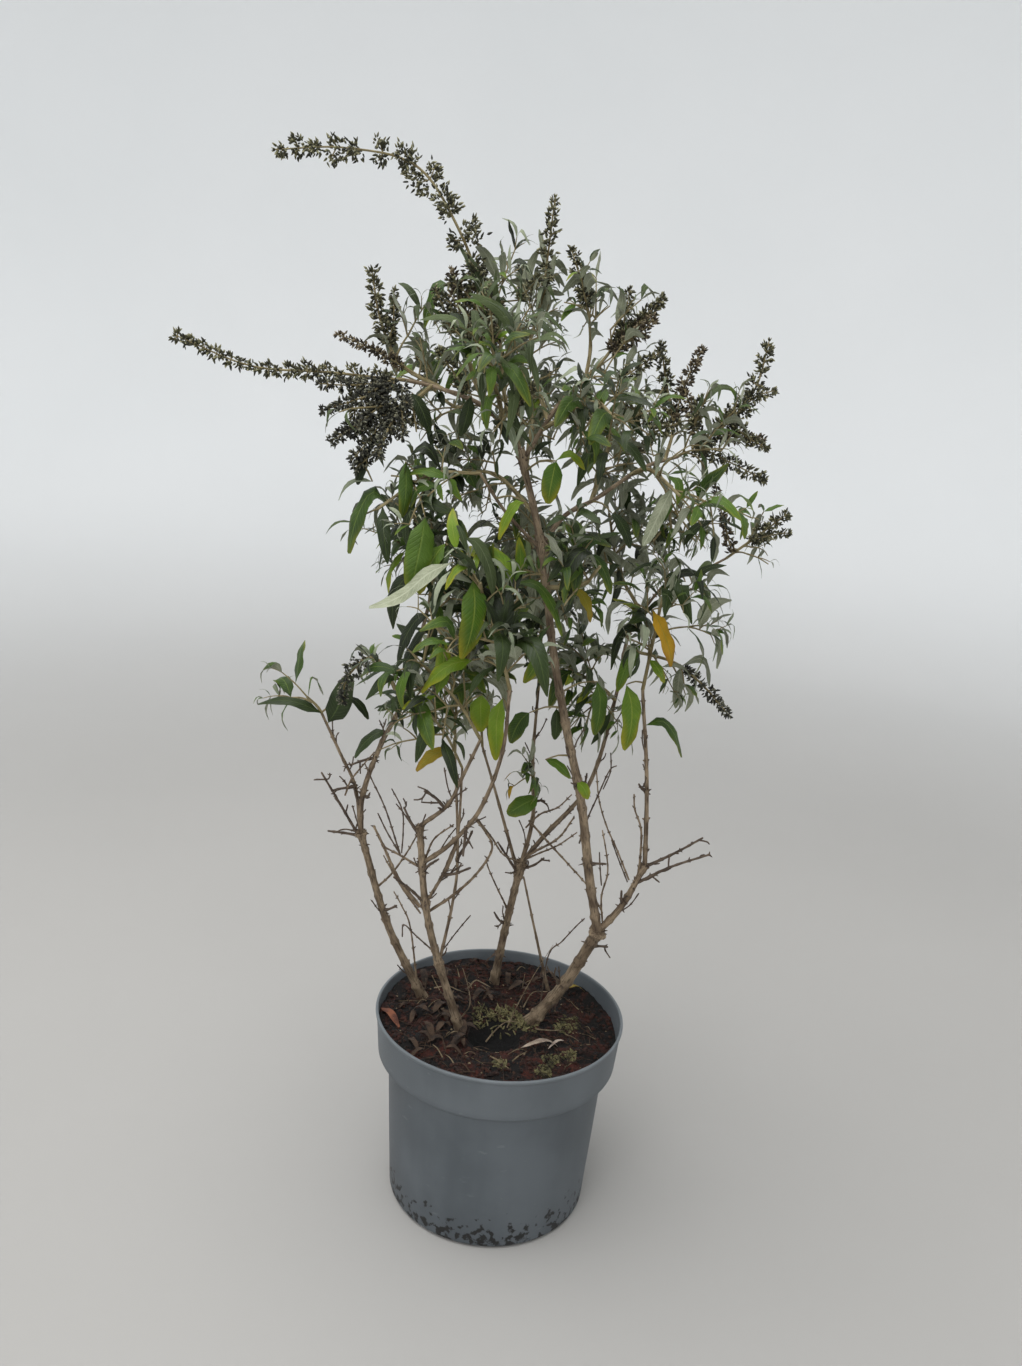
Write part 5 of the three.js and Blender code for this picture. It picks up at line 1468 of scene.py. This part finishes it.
# Side spikes that make the panicles full: mass, root, tip, width at the foot.
SIDE_SPIKES = [
    ("cluster_left", (-120, -44, 704), (-173, -45, 698), 15),
    ("cluster_left", (-118, -48, 700), (-166, -60, 679), 15),
    ("cluster_left", (-118, -52, 694), (-158, -62, 658), 16),
    ("cluster_left", (-116, -52, 688), (-142, -70, 645), 16),
    ("cluster_left", (-112, -54, 684), (-122, -75, 650), 16),
    ("cluster_left", (-110, -54, 690), (-105, -75, 664), 15),
    ("cluster_left", (-112, -44, 702), (-104, -70, 688), 14),
    ("cluster_left", (-116, -40, 704), (-134, -62, 694), 15),
    ("cluster_left", (-120, -52, 690), (-140, -66, 668), 16),
    ("spire_left", (-62, -28, 752), (-89, -40, 766), 15),
    ("spire_left", (-62, -28, 762), (-84, -30, 779), 14),
    ("spire_left", (-61, -28, 772), (-66, -8, 790), 14),
    ("spire_left", (-62, -28, 758), (-52, -10, 780), 14),
    ("spire_left", (-63, -29, 748), (-43, -20, 770), 15),
    ("spire_left", (-63, -30, 738), (-45, -40, 756), 14),
    ("spire_left", (-64, -30, 732), (-82, -50, 748), 15),
    ("spire_left", (-64, -30, 736), (-65, -55, 748), 14),
    ("spray_right", (126, 2, 682), (148, 14, 708), 17),
    ("spray_right", (120, 2, 676), (101, 20, 726), 13),
    ("spray_right", (140, 6, 696), (170, 0, 678), 14),
    ("spray_right", (150, 8, 708), (172, 4, 722), 14),
    ("spray_right_rear", (90, 20, 690), (60, 12, 702), 15),
    ("tuft_far_right", (44, 4, 746), (79, 8, 783), 14),
    ("tuft_far_right", (40, 4, 742), (73, 5, 771), 14),
]


def pod(soup, start, direction, long, wide, chance):
    """One seed pod: a pointed four-sided body."""
    angle = np.arange(POD_SIDES) * 2 * math.pi / POD_SIDES
    side, up = cross_frame(direction)
    circle = np.cos(angle)[:, None] * side - np.sin(angle)[:, None] * up
    rings = np.array([start + direction * (long * h) + circle * (wide / 2 * w) for h, w in POD_RINGS])
    heights = np.array([h for h, _ in POD_RINGS])
    marks = np.stack(np.broadcast_arrays(0.0 * angle[None], heights[:, None], chance), -1)
    loft(soup, rings, marks, 0, start, start + direction * long)


def cluster(foliage, kind, place, along, angle, reach, keys):
    """Half a whorl: pods that bristle round the end of a short stalk."""
    size = reach * between(SPIKE["size"], *keys, 3)
    end = place + (radial(along, angle) * SPIKE["aside"] + along * SPIKE["ahead"]) * size
    tube(foliage.twigs, np.array([place, mix(place, end, 0.5), end]), SPIKE["stalk"], 5)
    ball = SPIKE["ball"]
    for i in range(round(SPIKE["fewest"] + SPIKE["density"] * size * size)):
        own = [*keys, i]
        out = radial(along, angle + between((-SPIKE["fan"], SPIKE["fan"]), *own, 4))
        stray = out * between((0, ball), *own, 10) + along * between((-ball, ball), *own, 11)
        start = mix(place, end, noise(*own, 6)) + stray * size
        direction = unit(out + along * between(SPIKE["lean"], *own, 5))
        long = min(between(SPIKE["pod"], *own, 7), SPIKE["shortest"] + SPIKE["growth"] * size)
        girth = between(SPIKE["girth"], *own, 8) * min(1, long / SPIKE["full_pod"])
        pod(foliage.pods[kind], start, direction, long, SPIKE["pod_width"] * girth, noise(*own, 9))


def spike_kind(mass, keys):
    """The colour of a spike's pods: brown low down and on every third side spike."""
    if mass.name in DARK_SPIKES:
        return "dark"
    return "brown" if mass.level == "low" or keys[-1] % 3 == 1 else "olive"


def spike(foliage, mass, curve, foot, keys, stem_radius, widths):
    """A spent flower spike: whorls of pods that shrink towards its tip."""
    kind = spike_kind(mass, keys)
    length = curve.length * (1 - foot)
    shares = np.linspace(foot, 1, max(4, round(length / 4)))
    radii = mix(stem_radius, SPIKE["end"], (shares - foot) / (1 - foot))
    tube(foliage.twigs, curve.at(shares), radii, 6)
    foliage.twigs.masses.add(mass.name)
    foliage.pods[kind].masses.add(mass.name)
    run, node = SPIKE["first"] * widths[0], 0
    while run < length:
        share = mix(foot, 1, run / length)
        width = mix(*widths, run / length)
        for face in (0, 1):
            own = [*keys, node, face]
            angle = axil(node, face) + between((-SPIKE["turn"], SPIKE["turn"]), *own, 1)
            cluster(foliage, kind, curve.at(share), curve.tangent(share), angle, width / 2, own)
        step = max(SPIKE["least_spacing"], WHORL_SPACING.get(mass.name, SPIKE["spacing"]) * width)
        run += step * between(SPIKE["stray"], *keys, node, 2)
        node += 1
    tip, along, shape = curve.at(1.0), curve.tangent(1), SPIKE_TIP
    for i in range(shape["pods"]):
        out = unit(along + shape["spread"] * radial(along, shape["turn"] * i))
        chance = noise(*keys, i, 90)
        pod(foliage.pods[kind], tip - along, out, shape["length"], shape["width"], chance)


def shoot_spike(foliage, space, mass, shoot):
    """A small spent spike at the end of a crown shoot, where it has room."""
    keys = [*shoot.keys, 120]
    if noise(*keys, 1) > SHOOT_SPIKE["chance"]:
        return
    root = shoot.curve.at(1)
    along = unit(shoot.curve.tangent(1) + UP * SHOOT_SPIKE["upward"])
    curve = Curve([root, root + along * between(SHOOT_SPIKE["length"], *keys, 2)])
    points = curve.spaced(LEAF["sample"])[1:]
    if space.fits(mass, points, CLEARANCE["leaf"]):
        mass.take(points)
        spike(foliage, mass, curve, 0.0, keys, SPIKE["side_stem"], SHOOT_SPIKE["widths"])


def grow_spikes(foliage, mass):
    """The spike of a mass's stem, and its side spikes."""
    name, stem, seed = mass.name, mass.stem, mass.seed
    if stem.plume > 0:
        foot = 1 - min(stem.length, SPIKE_LENGTHS.get(name, stem.plume)) / stem.length
        widths = SPIKE_WIDTHS.get(name, COMMON_SPIKE)
        spike(foliage, mass, stem.curve, foot, stem.keys, SPIKE["stem"], widths)
    side_width = SIDE_WIDTHS.get(name, COMMON_SPIKE[0])
    found = [(stem.curve.at(share), tip, side_width) for share, *tip in mass.spec.get("plumes", [])]
    found += [(root, tip, width) for own, root, tip, width in SIDE_SPIKES if own == name]
    for i, (root, tip, width) in enumerate(found):
        curve = bent(vec(*root), vec(*tip), [seed, i, 41])
        spike(foliage, mass, curve, 0.0, [seed, i + 40], SPIKE["side_stem"], (width, 0.5 * width))
        mass.take(curve.spaced(LEAF["sample"])[1:])


# ---------------------------------------------------------------- masses


def grow_mass(foliage, space, mass):
    """Twigs, leaves and spikes of one mass."""
    foliage.twigs.masses.add(mass.name)
    twig_mesh(foliage, mass.stem)
    mass.take(mass.stem.points())
    grow_spikes(foliage, mass)
    shoots = [mass.stem]
    for i in range(mass.spec["shoots"]):
        shoot = side_shoot(mass, i)
        points = shoot.points()
        if space.fits(mass, points, CLEARANCE["leaf"]):
            twig_mesh(foliage, shoot, 6)
            mass.take(points)
            shoots.append(shoot)
    for shoot in shoots:
        leaf_pairs(foliage, space, mass, shoot)
    if mass.level == "crown":
        for shoot in shoots[1:]:
            shoot_spike(foliage, space, mass, shoot)
    for shoot in shoots:
        finer_twigs(foliage, space, mass, shoot)


def build_foliage(limbs):
    masses = [Mass(spec, i + 1, limbs) for i, spec in enumerate(MASSES)]
    space = Space(masses, list(limbs.values()))
    foliage = Foliage()
    grow_key_leaves(foliage, limbs, masses)
    for mass in masses:
        grow_mass(foliage, space, mass)
    pieces = [("leaves_" + kind, soup, [LEAF_TOPS[kind], UNDERSIDE], "leaves")
              for kind, soup in foliage.leaves.items()]
    pieces.append(("twigs", foliage.twigs, [SHOOT_BARK], "bark"))
    pieces += [("pods_" + kind, soup, [POD_LOOKS[kind]], "leaves") for kind, soup in foliage.pods.items()]
    for name, soup, looks, slot in pieces:
        build_piece(name, soup, looks, ["leaves_" + mass for mass in sorted(soup.masses)])


# ---------------------------------------------------------------- pot


def inner_radius(z):
    """The radius of the pot's inner side at a height."""
    heights = [POT["floor"], SHOULDER, BAND_FOOT, POT["height"]]
    radii = [POT["base_radius"], POT["shoulder_radius"], POT["band_radius"], POT["rim_radius"]]
    return np.interp(z, heights, [radius - POT["wall"] for radius in radii])


def rounded(profile, radius, steps=4):
    """A profile of (radius, height) corners with each corner rounded."""
    p = [vec(*corner) for corner in profile]
    found = [p[0]]
    for before, corner, after in zip(p, p[1:], p[2:]):
        room = min(radius, 0.45 * np.linalg.norm(before - corner), 0.45 * np.linalg.norm(after - corner))
        a = corner + unit(before - corner) * room
        b = corner + unit(after - corner) * room
        for t in np.linspace(0, 1, steps):
            found.append((1 - t) ** 2 * a + 2 * t * (1 - t) * corner + t * t * b)
    return [*found, p[-1]]


def build_pot():
    height, rim, base = POT["height"], POT["rim_radius"], POT["base_radius"]
    band, lip, floor = POT["band_radius"], POT["lip_width"], POT["floor"]
    corners = [
        (POT["hub"], 0),
        (base - POT["foot_edge"], 0),
        (base, POT["foot_edge"]),
        (mix(base, POT["shoulder_radius"], 0.5), SHOULDER / 2),
        (POT["shoulder_radius"], SHOULDER),
        (band - POT["step_edge"], BAND_FOOT - POT["step_edge"]),
        (band, BAND_FOOT),
        (rim - lip / 2, height - POT["lip_drop"]),
        (rim, height - POT["lip_drop"] + POT["lip_edge"]),
        (rim, height),
        (rim - lip, height),
        (inner_radius(BAND_FOOT), BAND_FOOT),
        (inner_radius(SHOULDER), SHOULDER),
        (inner_radius(floor), floor),
        (POT["hub"], floor),
    ]
    soup = Soup()
    rings = lathe(rounded(corners, POT["rounding"]), POT["sides"])
    loft(soup, rings, rings, 0, vec(0, 0, 0), vec(0, 0, floor))
    pot = make_object("pot_moulded", soup, [pot_look()], sharp_angle=40)
    bore(pot)
    dress(pot, ["pot"])


def bore(pot):
    """Cuts the drain holes."""
    soup = Soup()
    reach = 4 * POT["floor"]
    for i in range(DRAIN["holes"]):
        angle = (i + 0.5) / DRAIN["holes"] * 2 * math.pi
        centre = vec(math.cos(angle), math.sin(angle), 0) * DRAIN["ring_radius"]
        rings = lathe([(DRAIN["radius"], -reach), (DRAIN["radius"], reach)], DRAIN["sides"]) + centre
        loft(soup, rings, rings, 0, centre - UP * reach, centre + UP * reach)
    drill = make_object("drill", soup, [])
    cut = pot.modifiers.new("drain", "BOOLEAN")
    cut.operation, cut.object, cut.solver = "DIFFERENCE", drill, "EXACT"
    bpy.context.view_layer.update()
    made = bpy.data.meshes.new_from_object(pot.evaluated_get(bpy.context.evaluated_depsgraph_get()))
    pot.modifiers.clear()
    pot.data = made
    bpy.data.objects.remove(drill)


# ---------------------------------------------------------------- soil

CRUMBS = dict(coarse=9, coarse_height=1.5, fine=2.6, fine_height=0.8)
HEAP = dict(height=3, start=20, reach=60)  # the soil is heaped a little at the back
FIBRES = dict(count=330, length=(6, 24), rise=(0.3, 4), radius=(0.25, 0.7), pale=0.15)
MOSS = dict(lumps=420, bristles=420, length=(3, 9), tuft=16)
SCRAPS = dict(count=46, length=(9, 24), arc=(1.1, 4.5), out=(0.3, 0.93))
# Tufts of moss on the soil: x, y and spread.
MOSS_PLACES = [
    (-14, 10, 12), (4, 8, 15), (18, 6, 14), (28, 2, 10), (10, 14, 12), (58, 2, 8), (66, 12, 9),
    (46, -46, 8), (3, -61, 6), (62, -40, 7), (40, -64, 8),
]
# Rootlets and straws on the soil: points they pass, height above the surface included.
ROOTLETS = [
    [(-34, 4, 0), (-27, 6, 12), (-30, 12, 26), (-36, 16, 40)],
    [(-30, 12, 24), (-24, 16, 30), (-18, 18, 27), (-10, 22, 20)],
    [(8, 0, 0), (18, 8, 22), (30, 18, 46), (44, 30, 66)],
    [(-10, -8, 1), (-2, -2, 4), (8, 2, 3), (20, 2, 1)],
    [(-62, 40, 1), (-50, 44, 5), (-40, 40, 4), (-30, 42, 1)],
    [(22, 30, 1), (30, 44, 6), (44, 50, 3)],
    [(34, -4, 1), (46, -8, 4), (58, -4, 2)],
    [(-20, -40, 1), (-8, -36, 3), (2, -44, 1)],
]
# Dry leaves on the soil: colour name, x, y, heading, length, dark and light colours, roughness,
# tilt, width.
FALLEN_LEAVES = [
    ("pale", 20, -39, 0.42, 38, "7d6d60", "b5a594", 0.8, 0.1, 6),
    ("thin", 44, -33, 0.7, 20, "84746a", "bdaea0", 0.8, 0.3, 3),
    ("red", -106, -4, -0.9, 30, "4a2416", "7f4a30", 0.7, 0.1, 8),
    ("yellow", 58, 60, 0.3, 24, "75661f", "a99038", 0.7, 0.1, 6),
]


def ground(x, y):
    """Height of the finished soil surface, with its crumbs, its heap and its hollow."""
    coarse = relief_noise.fractal(Vector((x / CRUMBS["coarse"], y / CRUMBS["coarse"], 3.1)), 0.6, 2.1, 4)
    fine = relief_noise.noise(Vector((x / CRUMBS["fine"], y / CRUMBS["fine"], 7.7)))
    crumbs = CRUMBS["coarse_height"] * coarse + CRUMBS["fine_height"] * fine
    away = math.hypot(x - HOLLOW["x"], (y - HOLLOW["y"]) * 1.2) / HOLLOW["radius"]
    heap = HEAP["height"] * min(1, max(0, (y - HEAP["start"]) / HEAP["reach"]))
    return float(soil_height(x, y)) + crumbs + heap - HOLLOW["depth"] * math.exp(-away**4)


def on_soil(x, y, above=0.0):
    return vec(x, y, ground(x, y) + above)


def in_hollow(x, y):
    return math.hypot(x - HOLLOW["x"], y - HOLLOW["y"]) < HOLLOW["radius"]


def on_disc(x, y, radius, turn, out):
    """A point of a disc round (x, y), picked by two numbers from 0 to 1."""
    angle, away = 2 * math.pi * turn, math.sqrt(out)
    return x + radius * away * math.cos(angle), y + radius * away * math.sin(angle)


def soil_piece(name, soup, looks, sharp_angle=SHARP_ANGLE):
    build_piece(name, soup, looks, ["soil"], sharp_angle)


def build_soil():
    soup = Soup()
    level, sides = SOIL["level"], SOIL_GRID["sides"]
    bottom = POT["floor"] + GAP
    edge = float(inner_radius(level)) - 1.5 * GAP
    walls = [
        (POT["hub"], bottom),
        (inner_radius(bottom) - GAP, bottom),
        (inner_radius(SHOULDER) - GAP, SHOULDER + GAP),
        (inner_radius(BAND_FOOT) - GAP, BAND_FOOT + GAP),
        (edge, level - SOIL_GRID["edge_drop"]),
    ]
    rings = [*lathe(walls, sides)]
    for radius in np.linspace(edge, SOIL_GRID["centre"], SOIL_GRID["rings"]):
        rings.append(np.array([on_soil(x, y) for x, y, _ in lathe([(radius, 0)], sides)[0]]))
    rings = np.array(rings)
    loft(soup, rings, rings, 0, vec(0, 0, bottom), on_soil(0, 0))
    soil_piece("soil_peat", soup, [soil_look()], sharp_angle=180)


def lump(soup, centre, size, keys, rows=3, columns=6, squash=0.7, girth=(0.7, 1.25)):
    """A small uneven crumb."""
    angle = np.arange(columns) * 2 * math.pi / columns
    rings = []
    for i in range(rows):
        polar = math.pi * (i + 1) / (rows + 1)
        low, radius = size * squash * math.cos(polar), size * math.sin(polar)
        row = []
        for j, turn in enumerate(angle):
            grown = radius * between(girth, *keys, i, j)
            row.append(centre + vec(grown * math.cos(turn), grown * math.sin(turn), -low))
        rings.append(row)
    rings = np.array(rings)
    loft(soup, rings, rings, 0, centre - UP * size * squash, centre + UP * size * squash)


def scatter(name, count, seed, size, look, places=None):
    """Small lumps strewn over the soil, all of it or round the given (x, y, spread) places."""
    soup = Soup()
    edge = float(inner_radius(SOIL["level"])) - 4
    places = places or [(0, 0, edge)]
    for i in range(count):
        x, y = on_disc(*places[i % len(places)], noise(seed, i, 1), noise(seed, i, 2))
        if math.hypot(x, y) <= edge and not in_hollow(x, y):
            grown = between(size, seed, i, 3)
            lump(soup, on_soil(x, y, 0.2 * grown), grown, [seed, i])
    soil_piece(name, soup, [look])


def build_rootlets():
    soup = Soup()
    for i, points in enumerate(ROOTLETS):
        curve = Curve([on_soil(*point) for point in points])
        radii = np.linspace(0.9, 0.35, 14) * between((0.6, 0.9), i, 5)
        tube(soup, curve.at(np.linspace(0, 1, 14)), radii, 6)
    soil_piece("rootlets", soup, [speck_look("rootlet", "4d4032", "94836a")])


def strew_fibres(soup):
    """Fine straws and root hairs strewn over the soil."""
    edge = float(inner_radius(SOIL["level"])) - 8
    for i in range(FIBRES["count"]):
        x, y = on_disc(0, 0, edge, noise(i, 70), noise(i, 71))
        heading, length = 2 * math.pi * noise(i, 72), between(FIBRES["length"], i, 73)
        dx, dy = math.cos(heading) * length / 2, math.sin(heading) * length / 2
        spots = [(x - dx, y - dy), (x, y), (x + dx, y + dy)]
        if any(math.hypot(*spot) > edge or in_hollow(*spot) for spot in spots):
            continue
        rise = between(FIBRES["rise"], i, 74)
        heights = (0.3, 0.5 + rise, 0.3 + rise * noise(i, 75))
        curve = Curve([on_soil(*spot, height) for spot, height in zip(spots, heights)])
        radius = between(FIBRES["radius"], i, 76)
        look = 1 if noise(i, 77) < FIBRES["pale"] else 0
        tube(soup, curve.at(np.linspace(0, 1, 6)), np.linspace(radius, radius / 2, 6), 5, look)


def strew_bristles(soup):
    """The bristles of the moss."""
    for i in range(MOSS["bristles"]):
        cx, cy, spread = MOSS_PLACES[i % len(MOSS_PLACES)]
        root = on_soil(*on_disc(cx, cy, spread, noise(i, 80), noise(i, 81)))
        lean = vec(2.4 * noise(i, 82) - 1.2, 2.4 * noise(i, 83) - 1.6, 1)
        tip = root + unit(lean) * between(MOSS["length"], i, 84) * spread / MOSS["tuft"]
        tube(soup, np.array([root, mix(root, tip, 0.5) + 0.4 * UP, tip]), [0.9, 0.7, 0.2], 4, 2)


def build_fibres():
    soup = Soup()
    strew_fibres(soup)
    strew_bristles(soup)
    looks = [
        speck_look("fibre_dark", "1d1510", "4a3829"),
        speck_look("fibre_pale", "574a37", "8d7d62"),
        speck_look("moss_stalk", "3c3923", "8f8860"),
    ]
    soil_piece("fibres", soup, looks)


def build_scraps():
    """Dead brown leaf scraps among the stems."""
    look = speck_look("scrap", "1f1611", "4d3b2c", 0.85)
    soup = Soup()
    rim = inner_radius(SOIL["level"])
    for i in range(SCRAPS["count"]):
        turn, out = between(SCRAPS["arc"], i, 90), between(SCRAPS["out"], i, 91) * float(rim)
        x, y = out * math.cos(turn), out * math.sin(turn)
        length = between(SCRAPS["length"], i, 92)
        heading = unit(vec(noise(i, 93) - 0.5, noise(i, 94) - 0.5, 0.25 * noise(i, 95)))
        root = on_soil(x, y, 1.5)
        tip = root + heading * length
        if math.hypot(tip[0], tip[1]) > rim - 5 or in_hollow(x, y):
            continue
        middle = mix(root, tip, 0.5) + UP * 0.2 * length
        side = cross_frame(heading)[0]
        blade(soup, Leaf(root, middle, tip, side, length, [i, 96], 0.3 * length), "yellow")
    soil_piece("scraps", soup, [look, look])


def fallen_leaf(name, x, y, angle, length, deep, light, roughness, tilt, width):
    """A dry leaf lying on the soil."""
    look = speck_look("dry_" + name, deep, light, roughness)
    soup = Soup()
    out = unit(vec(math.cos(angle), math.sin(angle), tilt))
    root = on_soil(x, y, 2.5)
    tip = root + out * length
    tip[2] = max(tip[2], ground(tip[0], tip[1]) + 2)
    middle = mix(root, tip, 0.45) + UP * 0.08 * length
    leaf = Leaf(root, middle, tip, cross_frame(out)[0], length, [int(length), int(x)], width)
    blade(soup, leaf, "silver")
    soil_piece("leaf_fallen_" + name, soup, [look, look])


def build_litter():
    moss = speck_look("moss", "2c2a18", "77714b")
    scatter("crumbs", 1500, 3, (0.8, 2.4), speck_look("crumb", "120a07", "3f2015"))
    scatter("chips", 70, 4, (0.4, 1.1), speck_look("chip", "6b5b45", "a39376"))
    scatter("moss", MOSS["lumps"], 5, (0.8, 2.0), moss, MOSS_PLACES)
    build_rootlets()
    build_fibres()
    build_scraps()
    for leaf in FALLEN_LEAVES:
        fallen_leaf(*leaf)


# ---------------------------------------------------------------- stage, light and camera

CAMERA = dict(
    place=(-13.6, -846.1, 675.6), along=(0, 0.9726, -0.2326), up=(-0.0812, 0.2318, 0.9694),
    lens=27.72, sensor=36, near=0.02, far=60,
)
# The lamps, in metres and watts.
LAMPS = [
    dict(name="soft_top", place=(-0.5, -0.3, 2.6), target=(0, 0, 0.4), size=2.2, power=46),
    dict(name="soft_front", place=(-0.9, -2.4, 1.9), target=(0, 0, 0.45), size=1.6, power=20),
]
SKY = dict(colour=(0.97, 0.985, 0.985, 1), strength=0.63)
# The studio floor: radius and height of its rings, flat in the middle and turned up far out.
STAGE_RINGS = [
    (200, 0), (700, 0), (1600, 0), (2300, 60), (2900, 260), (3400, 700), (3700, 1400), (3800, 3600),
]
STAGE = dict(rounding=200, sides=96, thickness=20)


def aim_camera():
    data = bpy.data.cameras.new("camera")
    data.lens, data.sensor_width = CAMERA["lens"], CAMERA["sensor"]
    data.clip_start, data.clip_end = CAMERA["near"], CAMERA["far"]
    camera = bpy.data.objects.new("camera", data)
    back = -unit(vec(*CAMERA["along"]))
    right = unit(np.cross(vec(*CAMERA["up"]), back))
    up = np.cross(back, right)
    turned_and_placed = np.eye(4)
    turned_and_placed[:3] = np.stack([right, up, back, vec(*CAMERA["place"]) * MM], axis=1)
    camera.matrix_world = Matrix(turned_and_placed.tolist())
    bpy.context.scene.collection.objects.link(camera)
    bpy.context.scene.camera = camera


def area_light(name, place, target, size, power):
    data = bpy.data.lights.new(name, "AREA")
    data.shape, data.size, data.energy = "DISK", size, power
    light = bpy.data.objects.new(name, data)
    light.location = Vector(place)
    light.rotation_mode = "QUATERNION"
    light.rotation_quaternion = (Vector(target) - Vector(place)).to_track_quat("-Z", "Y")
    bpy.context.scene.collection.objects.link(light)


def light_scene():
    world = bpy.data.worlds.new("studio")
    world.use_nodes = True
    background = world.node_tree.nodes["Background"]
    background.inputs["Color"].default_value = SKY["colour"]
    background.inputs["Strength"].default_value = SKY["strength"]
    bpy.context.scene.world = world
    for lamp in LAMPS:
        area_light(**lamp)
    bpy.context.scene.view_settings.view_transform = "Standard"


def build_stage():
    soup = Soup()
    profile = rounded(STAGE_RINGS, STAGE["rounding"])
    thick = STAGE["thickness"]
    inner = lathe(profile, STAGE["sides"])
    outer = lathe([(r + thick, z - thick) for r, z in reversed(profile)], STAGE["sides"])
    rings = np.concatenate([outer[::-1], inner[::-1]])
    loft(soup, rings, rings, 0, vec(0, 0, -thick), vec(0, 0, 0))
    floor = make_object("floor", soup, [floor_look()])


aim_camera()
light_scene()
build_stage()
build_pot()
build_soil()
build_litter()
all_limbs = grow_limbs()
for number, limb in enumerate(all_limbs.values()):
    build_limb(limb, number)
build_dead_twigs(all_limbs)
build_foliage(all_limbs)
